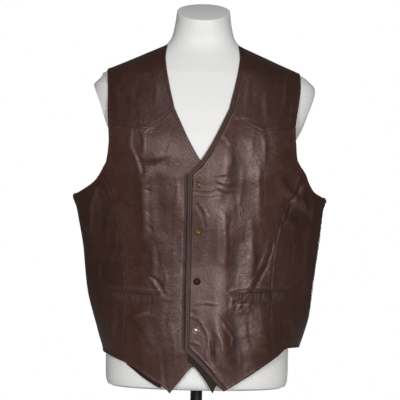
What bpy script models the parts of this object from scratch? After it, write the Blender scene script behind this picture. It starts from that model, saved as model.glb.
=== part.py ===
# A leather vest worn by a limbless dress form, which stands on a pole and a round foot.
# The vest faces -Y. Left and right are the wearer's, so the left front is at +X.
# Tables and sizes are in millimetres, and meshes are made in metres.
# Heights are measured from the lower edge of the dress form, which stands FORM_RISE above the floor.

import math

import bpy
import bmesh
import numpy as np

MM = 0.001
FORM_RISE = 160.0

LEATHER = 2.0  # wall of the fronts and the back, leather with its lining
SEAM_GAP = 0.3
LAID_GAP = 0.35  # what is sewn on a panel, above it
LAP_LIFT = 3.8  # how far the left front lies over the right one
LAP_FULL_X = 30.0  # the lift is full up to here, and is gone at LAP_END_X
LAP_END_X = 95.0
LAP_TOP = 575.0  # the lift is gone at this height
LAP_EASE = 70.0
SIDE_SEAM_ANGLE = 97.0  # degrees from the centre front, just behind the widest place

BAND_WIDTH = 9.5
BAND_THICK = 1.1
WELT_THICK = 1.8
WELT_GAP = 0.6
LINING_THICK = 1.0
SNAP_DIAMETER = 15.0
SNAP_HEIGHT = 3.4
SNAP_X = -3.0
SNAP_HEIGHTS = (422.0, 325.0, 225.0, 126.0)

SHOULDER_SEAT = 3.3  # the form's shoulder below the vest's outer face
NECK_TILT = 22.0  # degrees, front edge lower
NECK_ROUND = 3.0
POLE_DIAMETER = 25.0
BASE_DIAMETER = 290.0
BASE_HEIGHT = 6.0
BASE_TOP_EDGE = 2.0  # bevels of the foot
BASE_LOW_EDGE = 1.0
REST_GAP = 0.3

# Numbers of cells along the seams, the same on both sides of each seam.
SEAM_ROWS = 17
CHEST_ROWS = 6
YOKE_ROWS = 9
HEM_INNER = 5
HEM_OUTER = 6
SIDE_COLUMNS = 7
NECK_COLUMNS = 12
ARM_LOW_ROWS = 7
ARM_HIGH_ROWS = 7
ARM_END_COLUMNS = 3  # of SIDE_COLUMNS, from the front view's end to the side seam, at the arm
HEM_END_COLUMNS = 2  # and at the hem
FORM_SEGMENTS = 12  # in each quarter of the form
NECK_RINGS = 7
SNAP_AROUND = 20
BASE_AROUND = 48
POLE_AROUND = 32
WELT_CELLS = (2, 9)
LINING_LEFT_CELLS = (3, 6)
LINING_RIGHT_CELLS = (2, 8)
RIDGE_CROWD = 2.0  # rows draw together towards the ridge of the shoulder
NECK_CROWD = 3.0  # and the columns of the back's neck towards its ends

CURVE_STEPS = 300  # each border curve is drawn this finely before it is shared out
NORMAL_STEP = 0.4
FOLD_FADE = 0.06  # folds are gone at the sides, over this share of the half width
FOLD_TAPER = 0.45  # and lose this much of their height towards their ends
BAND_ROOM = 0.8  # the band takes no more than this share of the first row
SIDE_RADIAN = 150.0  # a radian of a side counts as this length when its rows are shared out
BACK_RADIAN = 170.0
SPREAD_TOP = 550.0  # the back's columns keep their spread above this height


def columns(names, rows):
    return dict(zip(names.split(), np.array(rows, float).T))


# The outer face of the worn vest, section by section: half widths of its right and left
# halves, the depth where it is widest, at its front and at its back, and how square it is.
VEST = columns(
    "height right left side front back front_power back_power",
    [
        (-40, 192, 206, 4, -125, 127, 2.05, 2.10),
        (30, 193, 208, 4, -125, 127, 2.05, 2.10),
        (70, 197, 211, 4, -125, 126, 2.05, 2.10),
        (108, 207, 222, 4, -124, 124, 2.00, 2.05),
        (157, 221, 235, 4, -122, 120, 1.95, 2.00),
        (192, 231, 240, 4, -121, 117, 1.90, 2.00),
        (239, 239, 246, 4, -121, 114, 1.85, 2.00),
        (297, 246, 254, 4, -124, 113, 1.80, 2.00),
        (345, 255, 259, 5, -128, 115, 1.75, 2.00),
        (372, 261, 262, 5, -130, 117, 1.72, 2.00),
        (395, 268, 267, 5, -131, 118, 1.72, 2.00),
        (415, 266, 266, 5, -132, 119, 1.75, 2.05),
        (440, 261, 262, 5, -133, 120, 1.85, 2.15),
        (470, 257, 258, 6, -133, 121, 1.95, 2.25),
        (511, 254, 255, 7, -129, 121, 2.10, 2.30),
        (550, 252, 253, 7, -121, 120, 2.20, 2.30),
        (600, 246, 247, 8, -106, 112, 2.20, 2.30),
        (631, 238, 239, 8, -93, 102, 2.20, 2.30),
        (650, 224, 224, 8, -84, 93, 2.20, 2.30),
        (661, 205, 205, 8, -79, 88, 2.20, 2.30),
        (680, 161, 161, 8, -68, 78, 2.20, 2.30),
        (700, 116, 116, 8, -57, 67, 2.20, 2.30),
        (719, 73, 73, 8, -44, 55, 2.20, 2.30),
        (735, 37, 37, 8, -36, 46, 2.20, 2.30),
    ],
)

# The dress form below its shoulders, from its own middle. Above them it keeps SHOULDER_SEAT
# from the vest. Its left arm stands out further, for the form is turned a little.
FORM = columns(
    "height right left front back",
    [
        (0, 178, 178, -99, 105),
        (4, 187, 187, -107, 113),
        (13, 190.5, 190.5, -111, 117),
        (40, 192, 192, -112, 118),
        (75, 192, 192, -112, 118),
        (120, 187, 187, -110, 113),
        (180, 172, 172, -104, 101),
        (250, 160, 160, -100, 90),
        (320, 166, 166, -108, 93),
        (400, 176, 176, -120, 103),
        (470, 184, 184, -127, 112),
        (519, 201, 201, -123.5, 115),
        (550, 224, 226, -116, 114),
        (575, 232, 236, -109.5, 111),
        (600, 234, 240, -100.5, 106),
        (617, 232, 241, -93.5, 101),
        (631, 228, 237, -87.5, 95.5),
        (645, 215, 224, -81.3, 89.5),
        (651, 210, 217, -78.7, 87),
    ],
)
FORM_EXTRA_HEIGHTS = (95, 150, 215, 285, 360, 435, 482, 495, 507, 534, 638)
# The flat faces at the arms, which cut the rings off.
ARM_CAP = columns(
    "height right left",
    [
        (470, 184.5, 186),
        (519, 187, 201),
        (550, 199, 213),
        (575, 207, 222),
        (600, 216, 231.5),
        (617, 223, 236.5),
        (631, 228, 238),
    ],
)
# Where a ring's side stretch begins, in degrees from its front.
ARM_CORNER = columns(
    "height corner",
    [(0, 62), (420, 62), (470, 85), (645, 86), (684, 66), (790, 62)],
)
FORM_SIDE = 6.0  # depth of the widest places of the form, and of its neck
NECK_SIDE = 4.0
FORM_POWER = 2.2
NECK_POWER = 2.1
NO_CAP = 1000.0  # wider than any ring
SHOULDER_HEIGHTS = (655, 664, 674, 684, 694, 704, 712)
SHOULDER_MARGIN = 3.0  # the last shoulder ring is at least this much wider than the neck
NECK = columns(
    "height half front back",
    [
        (717, 70, -46, 57),
        (730, 66, -46, 57),
        (744, 62.5, -48, 57),
        (765, 58.5, -51, 57),
        (787, 56, -54, 57),
    ],
)

# Border curves in the front view, as x and height, for the left half at +X.
FRONT_EDGE_LEFT = [(-25.6, 84), (-25.6, 250), (-25.3, 445)]
FRONT_EDGE_RIGHT = [(25.0, 84), (25.0, 250), (25.0, 445)]
NECK_CURVE = [(0, 472), (23, 510), (40, 545), (56, 580)]
YOKE_NECK = [(56, 580), (67, 626), (75.5, 671), (77.5, 690), (76.5, 704), (73, 719)]
SHOULDER_LEFT = [(73, 719), (205, 661)]
SHOULDER_RIGHT = [(-73, 719), (-199, 663.6)]
HEM_LEFT_INNER = [(-25.6, 84), (1, 59), (22, 37), (43, 13), (56, 1)]
HEM_LEFT_OUTER = [(56, 1), (80, 15), (108, 32), (126, 44), (152, 61)]
HEM_LEFT_SIDE = [(152, 61), (168, 72), (189, 87), (205, 87)]
HEM_RIGHT_INNER = [(25, 84), (-2, 58), (-18, 42), (-37, 18), (-55, -5)]
HEM_RIGHT_OUTER = [(-55, -5), (-64, 4), (-101, 26), (-126, 43), (-151, 55)]
HEM_RIGHT_SIDE = [(-151, 55), (-172, 62), (-190, 69)]
HEM_SIDE_LEFT = 84.0  # at the side seam
HEM_SIDE_RIGHT = 70.0
HEM_BACK = 64.0
LONG_SEAM_LEFT = [(152, 61), (150, 197), (154, 269), (163, 330), (181, 392), (200, 440), (208, 463)]
LONG_SEAM_RIGHT = [
    (-151, 55), (-150, 197), (-154, 269), (-163, 330), (-181, 392), (-197, 434), (-204, 451),
]
YOKE_SEAM_LEFT = [(56, 580), (90, 553), (124, 535), (158, 541), (194, 546)]
YOKE_SEAM_RIGHT = [(-56, 580), (-84, 556), (-115, 535), (-152, 541), (-193, 546)]
ARM_UPPER_LEFT = [(194, 546), (198, 575), (202, 601), (205, 635), (205, 661)]
ARM_UPPER_RIGHT = [(-193, 546), (-195, 580), (-196, 615), (-198, 645), (-199, 663.6)]
ARM_CHEST_LEFT = [(208, 463), (199, 480), (196, 506), (194, 546)]
ARM_CHEST_RIGHT = [(-204, 451), (-195, 470), (-191, 511), (-193, 546)]
ARM_LOWER_LEFT = [(208, 463), (218, 449), (226, 430), (238, 412), (255, 402)]
ARM_LOWER_RIGHT = [(-204, 451), (-212, 437), (-222, 425), (-239, 413), (-257, 403)]
ARM_LOWEST = 396.0  # at the side seam
ARM_BACK = [
    (250, 404), (232, 416), (217, 432), (205, 455), (195, 490),
    (190, 530), (190, 575), (194, 615), (201, 648),
]
ARM_BACK_ABOVE = 4  # this many of the back arm's points lie in its upper stretch
BACK_NECK = [(73, 719), (66, 713), (45, 705), (0, 701)]

# What lies on the fronts: the lower and the upper edge of each piece.
WELT_RIGHT = ([(-184, 179), (-129, 174), (-73, 171)], [(-184, 203), (-129, 199), (-73, 196)])
WELT_LEFT = ([(70, 181), (128, 181), (187, 183)], [(70, 204), (128, 206), (187, 208)])
LINING_LEFT = ([(-20, 64), (0, 45), (18, 22), (33, -3)], [(-18, 92), (10, 66), (30, 44), (46, 24)])
LINING_RIGHT = (
    [(-147, 50), (-130, 38), (-112, 25), (-92, 13), (-74, 4)],
    [(-147, 68), (-130, 60), (-112, 48), (-92, 36), (-74, 26)],
)
# A snap's cap from its rim to its middle, as shares of its radius and of its height.
SNAP_PROFILE = ((1.0, 0.0), (1.0, 0.28), (0.9, 0.45), (0.68, 0.72), (0.36, 0.93))

# Large soft folds, as a line from x, height to x2, height2, with how far it reaches
# to each side and how high it stands. A trough has a negative height.
FOLDS = columns(
    "x height x2 height2 reach rise",
    [
        (-112, 438, -109, 320, 15, 3.0),
        (-84, 430, -80, 330, 13, -1.6),
        (-44, 415, -42, 358, 12, 1.8),
        (-214, 405, -226, 330, 12, 3.0),
        (-196, 380, -204, 300, 13, -2.4),
        (-118, 466, -76, 463, 9, -1.6),
        (-168, 165, -176, 92, 13, 2.4),
        (-120, 150, -98, 60, 16, 2.2),
        (54, 505, 52, 425, 12, 2.6),
        (47, 362, 45, 268, 13, 2.2),
        (104, 292, 99, 205, 14, 2.6),
        (78, 300, 70, 215, 13, -1.8),
        (176, 436, 205, 395, 10, -3.0),
        (186, 412, 226, 368, 11, 3.4),
        (176, 380, 214, 338, 12, -2.2),
        (214, 330, 224, 210, 14, 2.2),
        (36, 148, 62, 52, 13, 2.8),
        (70, 150, 92, 62, 13, -2.0),
        (130, 160, 136, 92, 14, 2.2),
        (120, 440, 126, 360, 16, 2.0),
    ],
)
BACK_FOLDS = columns(
    "x height x2 height2 reach rise",
    [
        (-60, 330, -52, 170, 18, 3.0),
        (-20, 300, -26, 120, 17, -2.4),
        (30, 340, 24, 160, 18, 2.8),
        (78, 310, 88, 130, 18, -2.6),
        (120, 400, 106, 260, 17, 2.6),
        (-120, 395, -104, 250, 17, 2.8),
        (-150, 260, -142, 110, 16, -2.2),
        (150, 250, 148, 110, 16, 2.2),
        (0, 620, 0, 520, 24, -2.0),
    ],
)


def smooth(at, knots, values):
    """A cubic curve through the knots that never overshoots them."""
    step = np.diff(knots)
    rise = np.diff(values) / step
    same = rise[:-1] * rise[1:]
    slope = np.empty(len(knots))
    slope[0] = rise[0]
    slope[-1] = rise[-1]
    slope[1:-1] = np.where(same > 0, 2 * same / np.where(same > 0, rise[:-1] + rise[1:], 1), 0)
    at = np.clip(at, knots[0], knots[-1])
    k = np.clip(np.searchsorted(knots, at, side="right") - 1, 0, len(step) - 1)
    s = (at - knots[k]) / step[k]
    return (
        values[k] * (1 + 2 * s) * (1 - s) ** 2
        + slope[k] * step[k] * s * (1 - s) ** 2
        + values[k + 1] * s**2 * (3 - 2 * s)
        - slope[k + 1] * step[k] * s**2 * (1 - s)
    )


def section(table, height):
    return {name: smooth(height, table["height"], table[name]) for name in table if name != "height"}


def half_width(x, at):
    return np.where(x < 0, at["right"], at["left"])


def front_face(x, height):
    """Points of the vest's front face, from the front view."""
    at = section(VEST, height)
    share = np.clip(np.abs(x) / half_width(x, at), 0, 1)
    depth = (1 - share ** at["front_power"]) ** (1 / at["front_power"])
    return np.stack([x, at["side"] - (at["side"] - at["front"]) * depth, height], axis=-1)


def back_face(x, height):
    at = section(VEST, height)
    share = np.clip(np.abs(x) / half_width(x, at), 0, 1)
    depth = (1 - share ** at["back_power"]) ** (1 / at["back_power"])
    return np.stack([x, at["side"] + (at["back"] - at["side"]) * depth, height], axis=-1)


def round_face(angle, height):
    """Points by angle from the centre front, so that a panel can go round the side."""
    at = section(VEST, height)
    ahead = np.cos(angle) >= 0
    power = np.where(ahead, at["front_power"], at["back_power"])
    depth = np.where(ahead, at["front"] - at["side"], at["back"] - at["side"])
    x = np.sign(angle) * half_width(angle, at) * np.abs(np.sin(angle)) ** (2 / power)
    return np.stack([x, at["side"] + depth * np.abs(np.cos(angle)) ** (2 / power), height], axis=-1)


def front_angle(x, height):
    at = section(VEST, height)
    share = np.clip(np.abs(x) / half_width(x, at), 0, 1)
    return np.sign(x) * np.arcsin(share ** (at["front_power"] / 2))


def body_level(points):
    """Over 1 outside the worn vest, under 1 inside it."""
    x, y, height = np.moveaxis(points, -1, 0)
    at = section(VEST, height)
    ahead = y < at["side"]
    power = np.where(ahead, at["front_power"], at["back_power"])
    depth = np.where(ahead, at["side"] - at["front"], at["back"] - at["side"])
    return (np.abs(x) / half_width(x, at)) ** power + (np.abs(y - at["side"]) / depth) ** power


def outward(points):
    """Unit normals of the worn vest's face."""
    step = np.eye(3) * NORMAL_STEP
    slope = np.stack([body_level(points + d) - body_level(points - d) for d in step], axis=-1)
    return slope / np.linalg.norm(slope, axis=-1, keepdims=True)


def folded(x, height, folds):
    """How far the folds push the cloth out at these places of the front view."""
    total = np.zeros(np.shape(x))
    names = ("x", "height", "x2", "height2", "reach", "rise")
    for x1, z1, x2, z2, reach, rise in zip(*(folds[name] for name in names)):
        run = np.array([x2 - x1, z2 - z1])
        share = np.clip(((x - x1) * run[0] + (height - z1) * run[1]) / (run @ run), 0, 1)
        away = np.hypot(x - x1 - share * run[0], height - z1 - share * run[1])
        full = 1 - FOLD_TAPER * np.abs(2 * share - 1)
        total = total + rise * full * np.exp(-((away / reach) ** 2))
    at = section(VEST, height)
    inside = np.clip((1 - np.abs(x) / half_width(x, at)) / FOLD_FADE, 0, 1)
    return total * inside


def ease(share):
    share = np.clip(share, 0, 1)
    return share**2 * (3 - 2 * share)


def lap_lift(x, height):
    """The left front's height over the right one, gone beside the chest and at the yoke."""
    across = ease((LAP_END_X - x) / (LAP_END_X - LAP_FULL_X))
    return LAP_LIFT * across * ease((LAP_TOP - height) / LAP_EASE)


def walked(curve):
    """The length along a curve at each of its points."""
    return np.concatenate([[0], np.cumsum(np.linalg.norm(np.diff(curve, axis=0), axis=1))])


def trace(points, count, power=1.0):
    """count + 1 points along a smooth curve through the given ones. A power over 1 crowds its start."""
    points = np.array(points, float)
    chord = walked(points)
    fine = np.linspace(0, chord[-1], CURVE_STEPS)
    curve = np.stack([smooth(fine, chord, points[:, k]) for k in (0, 1)], axis=-1)
    run = walked(curve)
    at = np.linspace(0, 1, count + 1) ** power * run[-1]
    return np.stack([np.interp(at, run, curve[:, k]) for k in (0, 1)], axis=-1)


def joined(*curves):
    return np.concatenate([curves[0]] + [curve[1:] for curve in curves[1:]])


def patch(left, right, bottom, top):
    """Points between four border curves: left and right run upwards, bottom and top from left to right."""

    def shares(one, other):
        runs = [walked(curve) for curve in (one, other)]
        return sum(run / run[-1] for run in runs) / 2

    u = shares(bottom, top)[None, :, None]
    v = shares(left, right)[:, None, None]
    corners = (
        (1 - u) * (1 - v) * bottom[0] + u * (1 - v) * bottom[-1] + (1 - u) * v * top[0] + u * v * top[-1]
    )
    return (1 - v) * bottom[None] + v * top[None] + (1 - u) * left[:, None] + u * right[:, None] - corners


def grid_faces(rows, cols, first=0):
    """Triangles of a grid of points, each cell split the same way."""
    faces = []
    for i in range(rows - 1):
        for j in range(cols - 1):
            a = first + i * cols + j
            faces += [(a, a + 1, a + cols + 1), (a, a + cols + 1, a + cols)]
    return faces


def tightened(points, gap):
    """The grid with its border drawn in by gap, square to the border."""
    points = points.copy()

    def draw_in(edge, inner):
        along = np.gradient(edge, axis=0)
        along /= np.linalg.norm(along, axis=1, keepdims=True)
        way = inner - edge
        square = way - along * np.sum(way * along, axis=1, keepdims=True)
        square /= np.linalg.norm(square, axis=1, keepdims=True)
        return edge + square * gap

    source = points.copy()
    points[0] += draw_in(source[0], source[1]) - source[0]
    points[-1] += draw_in(source[-1], source[-2]) - source[-1]
    points[:, 0] += draw_in(source[:, 0], source[:, 1]) - source[:, 0]
    points[:, -1] += draw_in(source[:, -1], source[:, -2]) - source[:, -1]
    return points


def in_metres(points):
    placed = np.array(points, float) * MM
    placed[..., 2] += FORM_RISE * MM
    return placed


def make_object(name, points, faces, material, sharp=35):
    mesh = bpy.data.meshes.new(name)
    mesh.from_pydata(in_metres(points).tolist(), [], faces)
    shape = bmesh.new()
    shape.from_mesh(mesh)
    if shape.calc_volume(signed=True) < 0:
        bmesh.ops.reverse_faces(shape, faces=shape.faces)
    shape.to_mesh(mesh)
    shape.free()
    mesh.shade_smooth()
    mesh.set_sharp_from_angle(angle=math.radians(sharp))
    mesh.materials.append(material)
    item = bpy.data.objects.new(name, mesh)
    bpy.context.scene.collection.objects.link(item)
    return item


def make_wall(name, points, normals, faces, low, high, material):
    """A closed wall between two faces, at low and at high along the normals."""
    count = len(points)
    both = np.concatenate([points + normals * high, points + normals * low])
    edges = {(face[k], face[(k + 1) % 3]) for face in faces for k in range(3)}
    shell = list(faces) + [(c + count, b + count, a + count) for a, b, c in faces]
    for a, b in sorted(edges):
        if (b, a) not in edges:
            shell += [(b, a, a + count), (b, a + count, b + count)]
    return make_object(name, both, shell, material)


def finish(name, colour, roughness, metallic=0.0):
    material = bpy.data.materials.new(name)
    material.use_nodes = True
    shader = material.node_tree.nodes["Principled BSDF"]
    shader.inputs["Base Color"].default_value = (*colour, 1.0)
    shader.inputs["Roughness"].default_value = roughness
    shader.inputs["Metallic"].default_value = metallic
    return material


def make_panel(name, outer, material, wall=LEATHER):
    """One cut piece: its outer face is the grid, and its wall goes inwards."""
    rows, cols = outer.shape[:2]
    points = tightened(outer, SEAM_GAP / 2).reshape(-1, 3)
    normals = outward(outer).reshape(-1, 3)
    return make_wall(name, points, normals, grid_faces(rows, cols), -wall, 0.0, material)


def with_band_column(flat, face):
    """The grid with one more column, BAND_WIDTH in from its first one."""
    first = face(flat[:, 0])
    width = np.linalg.norm(face(flat[:, 1]) - first, axis=-1, keepdims=True)
    band = flat[:, 0] + (flat[:, 1] - flat[:, 0]) * BAND_WIDTH / width
    return np.concatenate([flat[:, :1], band[:, None], flat[:, 1:]], axis=1)


def with_band_row(flat):
    """The grid with one more row, BAND_WIDTH above the hem, measured square to it."""
    rise = flat[1] - flat[0]
    along = np.gradient(flat[0], axis=0)
    along /= np.linalg.norm(along, axis=-1, keepdims=True)
    square = rise - along * np.sum(rise * along, axis=-1, keepdims=True)
    share = BAND_WIDTH / np.linalg.norm(square, axis=-1, keepdims=True)
    band = flat[0] + rise * np.minimum(share, BAND_ROOM)
    return np.concatenate([flat[:1], band[None], flat[1:]], axis=0)


def right_surface(flat):
    x, height = flat[..., 0], flat[..., 1]
    base = front_face(x, height)
    return base + outward(base) * folded(x, height, FOLDS)[..., None]


def left_surface(flat):
    x, height = flat[..., 0], flat[..., 1]
    base = front_face(x, height)
    return base + outward(base) * (folded(x, height, FOLDS) + lap_lift(x, height))[..., None]


def front_flat(edge, neck, long_seam, arm, hem_inner, hem_outer, yoke_seam):
    """A centre front in the front view, from its front edge outwards."""
    inner = joined(trace(edge, SEAM_ROWS), trace([edge[-1]] + neck, CHEST_ROWS))
    outer = joined(trace(long_seam, SEAM_ROWS), trace(arm, CHEST_ROWS))
    hem = joined(trace(hem_inner, HEM_INNER), trace(hem_outer, HEM_OUTER))
    top = joined(trace(yoke_seam[:3], HEM_INNER), trace(yoke_seam[2:], HEM_OUTER))
    return patch(inner, outer, hem, top)


def shoulder_seam(line):
    """The seam from the neck to the arm, on the ridge of the shoulder at each height."""
    seam = trace(line, HEM_INNER + HEM_OUTER)
    seam[:, 0] = np.sign(seam[:, 0]) * half_width(seam[:, 0], section(VEST, seam[:, 1]))
    return seam


def yoke_flat(neck, arm, yoke_seam, shoulder):
    bottom = joined(trace(yoke_seam[:3], HEM_INNER), trace(yoke_seam[2:], HEM_OUTER))
    top = shoulder_seam(shoulder)
    arm = arm[:-1] + [tuple(top[-1])]
    inner = trace(neck[::-1], YOKE_ROWS, RIDGE_CROWD)[::-1]
    outer = trace(arm[::-1], YOKE_ROWS, RIDGE_CROWD)[::-1]
    return patch(inner, outer, bottom, top)


def side_flat(long_seam, arm, hem, side, hem_end):
    """A side front by angle and height, from the long seam to the side seam."""
    seam = trace(long_seam, SEAM_ROWS)
    corner = side * math.radians(SIDE_SEAM_ANGLE)

    def turned(curve):
        return np.stack([front_angle(curve[:, 0], curve[:, 1]), curve[:, 1]], axis=-1)

    def lengthened(curve, end, end_columns):
        seen = turned(trace(curve, SIDE_COLUMNS - end_columns))
        return joined(seen, trace([seen[-1], (corner, end)], end_columns))

    inner = turned(seam)
    top = lengthened(arm, ARM_LOWEST, ARM_END_COLUMNS)
    bottom = lengthened(hem, hem_end, HEM_END_COLUMNS)
    outer = trace([(corner, hem_end), (corner, ARM_LOWEST)], SEAM_ROWS)
    scale = np.array([SIDE_RADIAN, 1.0])
    return patch(inner * scale, outer * scale, bottom * scale, top * scale) / scale


def side_surface(flat):
    base = round_face(flat[..., 0], flat[..., 1])
    ahead = base[..., 1] < 0
    push = np.where(ahead, folded(base[..., 0], base[..., 2], FOLDS), 0)
    return base + outward(base) * push[..., None]


def spread_width(x, height):
    """The half width that the back's columns are shared over, constant above the arms."""
    return half_width(x, section(VEST, np.minimum(height, SPREAD_TOP)))


def back_flat():
    """The back by spread angle and height, from the right side seam to the left one."""

    def spread(curve):
        x, height = curve[:, 0], curve[:, 1]
        return np.stack([np.arcsin(x / spread_width(x, height)), height], axis=-1)

    def side_curve(side, hem_end):
        heights = trace([(0, hem_end), (0, ARM_LOWEST)], SEAM_ROWS)[:, 1]
        seam = round_face(np.full(len(heights), side * math.radians(SIDE_SEAM_ANGLE)), heights)
        seam = np.stack([seam[:, 0], seam[:, 2]], axis=-1)
        tip = shoulder_seam(SHOULDER_LEFT if side > 0 else SHOULDER_RIGHT)[-1]
        arm = [tuple(seam[-1])] + [(side * x, z) for x, z in ARM_BACK] + [tuple(tip)]
        low, high = arm[:-ARM_BACK_ABOVE], arm[-ARM_BACK_ABOVE - 1 :]
        return joined(seam, trace(low, ARM_LOW_ROWS), trace(high[::-1], ARM_HIGH_ROWS, RIDGE_CROWD)[::-1])

    first = side_curve(-1, HEM_SIDE_RIGHT)
    last = side_curve(1, HEM_SIDE_LEFT)
    half_neck = trace(BACK_NECK, NECK_COLUMNS // 2, NECK_CROWD)
    mirrored = half_neck * (-1, 1)
    top = joined(
        shoulder_seam(SHOULDER_RIGHT)[::-1],
        mirrored,
        half_neck[::-1],
        shoulder_seam(SHOULDER_LEFT),
    )
    start, end = spread(first[:1])[0, 0], spread(last[:1])[0, 0]
    share = np.linspace(0, 1, len(top))
    dip = np.interp(share, [0, 0.5, 1], [HEM_SIDE_RIGHT, HEM_BACK, HEM_SIDE_LEFT])
    bottom = np.stack([start + (end - start) * share, dip], axis=-1)
    scale = np.array([BACK_RADIAN, 1.0])
    return patch(*(curve * scale for curve in (spread(first), spread(last), bottom, spread(top)))) / scale


def back_surface(flat):
    height = flat[..., 1]
    x = np.sin(flat[..., 0]) * spread_width(flat[..., 0], height)
    base = back_face(x, height)
    return base + outward(base) * folded(x, height, BACK_FOLDS)[..., None]


def make_fronts(leather):
    right = front_flat(
        FRONT_EDGE_RIGHT, [(-x, z) for x, z in NECK_CURVE], LONG_SEAM_RIGHT, ARM_CHEST_RIGHT,
        HEM_RIGHT_INNER, HEM_RIGHT_OUTER, YOKE_SEAM_RIGHT,
    )
    make_panel("front_right", right_surface(right), leather)
    left = front_flat(
        FRONT_EDGE_LEFT, NECK_CURVE, LONG_SEAM_LEFT, ARM_CHEST_LEFT,
        HEM_LEFT_INNER, HEM_LEFT_OUTER, YOKE_SEAM_LEFT,
    )
    left = with_band_row(with_band_column(left, left_surface))
    make_panel("front_left", left_surface(left), leather)
    yoke = yoke_flat(YOKE_NECK, ARM_UPPER_LEFT, YOKE_SEAM_LEFT, SHOULDER_LEFT)
    yoke = with_band_column(yoke, left_surface)
    make_panel("yoke_left", left_surface(yoke), leather)
    other = yoke_flat([(-x, z) for x, z in YOKE_NECK], ARM_UPPER_RIGHT, YOKE_SEAM_RIGHT, SHOULDER_RIGHT)
    make_panel("yoke_right", right_surface(other), leather)
    make_band(left_surface(left), left_surface(yoke), leather)


def make_band(front, yoke, leather):
    """The strip along the left front's hem point, front edge and neck, on the panels' own points."""
    corner = HEM_INNER + 1
    pairs = [(front[0, j], front[1, j]) for j in range(corner, 0, -1)]
    pairs += [(front[0, 0], front[1, 1])]
    pairs += [(front[i, 0], front[i, 1]) for i in range(1, len(front))]
    pairs += [(yoke[i, 0], yoke[i, 1]) for i in range(1, len(yoke))]
    points = np.array(pairs).reshape(-1, 3)
    faces = []
    for k in range(len(pairs) - 1):
        a = 2 * k
        if k == corner - 1:
            faces += [(a, a + 2, a + 1)]
        elif k == corner:
            faces += [(a, a + 2, a - 1)]
        else:
            faces += [(a, a + 2, a + 1), (a + 1, a + 2, a + 3)]
    # The mitre at the corner has one inner point, so the three copies of it are made one.
    shared = 2 * corner - 1
    same = {2 * corner + 1: shared, 2 * corner + 3: shared}
    faces = [tuple(same.get(k, k) for k in face) for face in faces]
    used = sorted({k for face in faces for k in face})
    order = {k: n for n, k in enumerate(used)}
    faces = [tuple(order[k] for k in face) for face in faces]
    points = points[used]
    normals = outward(points)
    return make_wall("edge_band", points, normals, faces, LAID_GAP, LAID_GAP + BAND_THICK, leather)


def make_sides(leather):
    left = side_flat(LONG_SEAM_LEFT, ARM_LOWER_LEFT, HEM_LEFT_SIDE, 1, HEM_SIDE_LEFT)
    make_panel("side_left", side_surface(left), leather)
    right = side_flat(LONG_SEAM_RIGHT, ARM_LOWER_RIGHT, HEM_RIGHT_SIDE, -1, HEM_SIDE_RIGHT)
    make_panel("side_right", side_surface(right), leather)


def make_back(leather):
    make_panel("back", back_surface(back_flat()), leather)


def make_patch_on(name, borders, cells, surface, low, high, material):
    """A small piece on the front face, between its lower and its upper edge."""
    bottom, top = borders
    rows, cols = cells
    low_curve = trace(bottom, cols)
    high_curve = trace(top, cols)
    left = trace([bottom[0], top[0]], rows)
    right = trace([bottom[-1], top[-1]], rows)
    points = surface(patch(left, right, low_curve, high_curve))
    normals = outward(points)
    faces = grid_faces(rows + 1, cols + 1)
    return make_wall(name, points.reshape(-1, 3), normals.reshape(-1, 3), faces, low, high, material)


def make_welts(leather):
    low, high = WELT_GAP, WELT_GAP + WELT_THICK
    make_patch_on("welt_right", WELT_RIGHT, WELT_CELLS, right_surface, low, high, leather)
    make_patch_on("welt_left", WELT_LEFT, WELT_CELLS, left_surface, low, high, leather)


def make_linings(satin):
    high = -LEATHER - LAID_GAP
    low = high - LINING_THICK
    make_patch_on("lining_left", LINING_LEFT, LINING_LEFT_CELLS, left_surface, low, high, satin)
    make_patch_on("lining_right", LINING_RIGHT, LINING_RIGHT_CELLS, right_surface, low, high, satin)


def make_snaps(metals):
    """Low domed caps, each square to the leather under it."""
    for number, (height, metal) in enumerate(zip(SNAP_HEIGHTS, metals), 1):
        centre = left_surface(np.array([[SNAP_X, height]]))
        out = outward(centre)[0]
        centre = centre[0] + out * LAID_GAP
        across = np.cross((0, 0, 1), out)
        across /= np.linalg.norm(across)
        up = np.cross(out, across)
        points = [centre]
        for share, rise in SNAP_PROFILE:
            for k in range(SNAP_AROUND):
                angle = 2 * math.pi * k / SNAP_AROUND
                spoke = across * math.cos(angle) + up * math.sin(angle)
                points.append(centre + spoke * share * SNAP_DIAMETER / 2 + out * rise * SNAP_HEIGHT)
        points.append(centre + out * SNAP_HEIGHT)
        faces = closed_ring_faces(len(SNAP_PROFILE), SNAP_AROUND)
        make_object(f"snap_{number}", np.array(points), faces, metal)


def closed_ring_faces(rings, around):
    """Triangles of a stack of rings between a first point and a last one."""
    faces = []
    for i in range(rings - 1):
        for k in range(around):
            a = 1 + i * around + k
            b = 1 + i * around + (k + 1) % around
            faces += [(a, b, b + around), (a, b + around, a + around)]
    last = 1 + rings * around
    for k in range(around):
        after = (k + 1) % around
        faces.append((0, 1 + after, 1 + k))
        faces.append((last, last - around + k, last - around + after))
    return faces


def form_ring(at, side, power, corner, caps=(NO_CAP, NO_CAP)):
    """One level ring of the form, cut flat at the arms where it is wider than the caps."""
    arm_segments = FORM_SEGMENTS // 3
    halves = []
    for half, cap in zip((at["right"], at["left"]), caps):
        cut = math.radians(corner)
        if half > cap:
            cut = math.asin((cap / half) ** (power / 2))
        angles = np.concatenate([
            np.linspace(0, cut, FORM_SEGMENTS - arm_segments + 1),
            np.linspace(cut, math.pi / 2, arm_segments + 1)[1:],
        ])
        x = np.minimum(half * np.sin(angles) ** (2 / power), cap)
        depth = np.abs(np.cos(angles)) ** (2 / power)
        ahead = np.stack([x, side + (at["front"] - side) * depth], axis=-1)
        behind = np.stack([x, side + (at["back"] - side) * depth], axis=-1)
        halves.append(np.concatenate([ahead, behind[-2::-1]]))
    right, left = halves
    return np.concatenate([left, right[-2:0:-1] * (-1, 1)])


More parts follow.
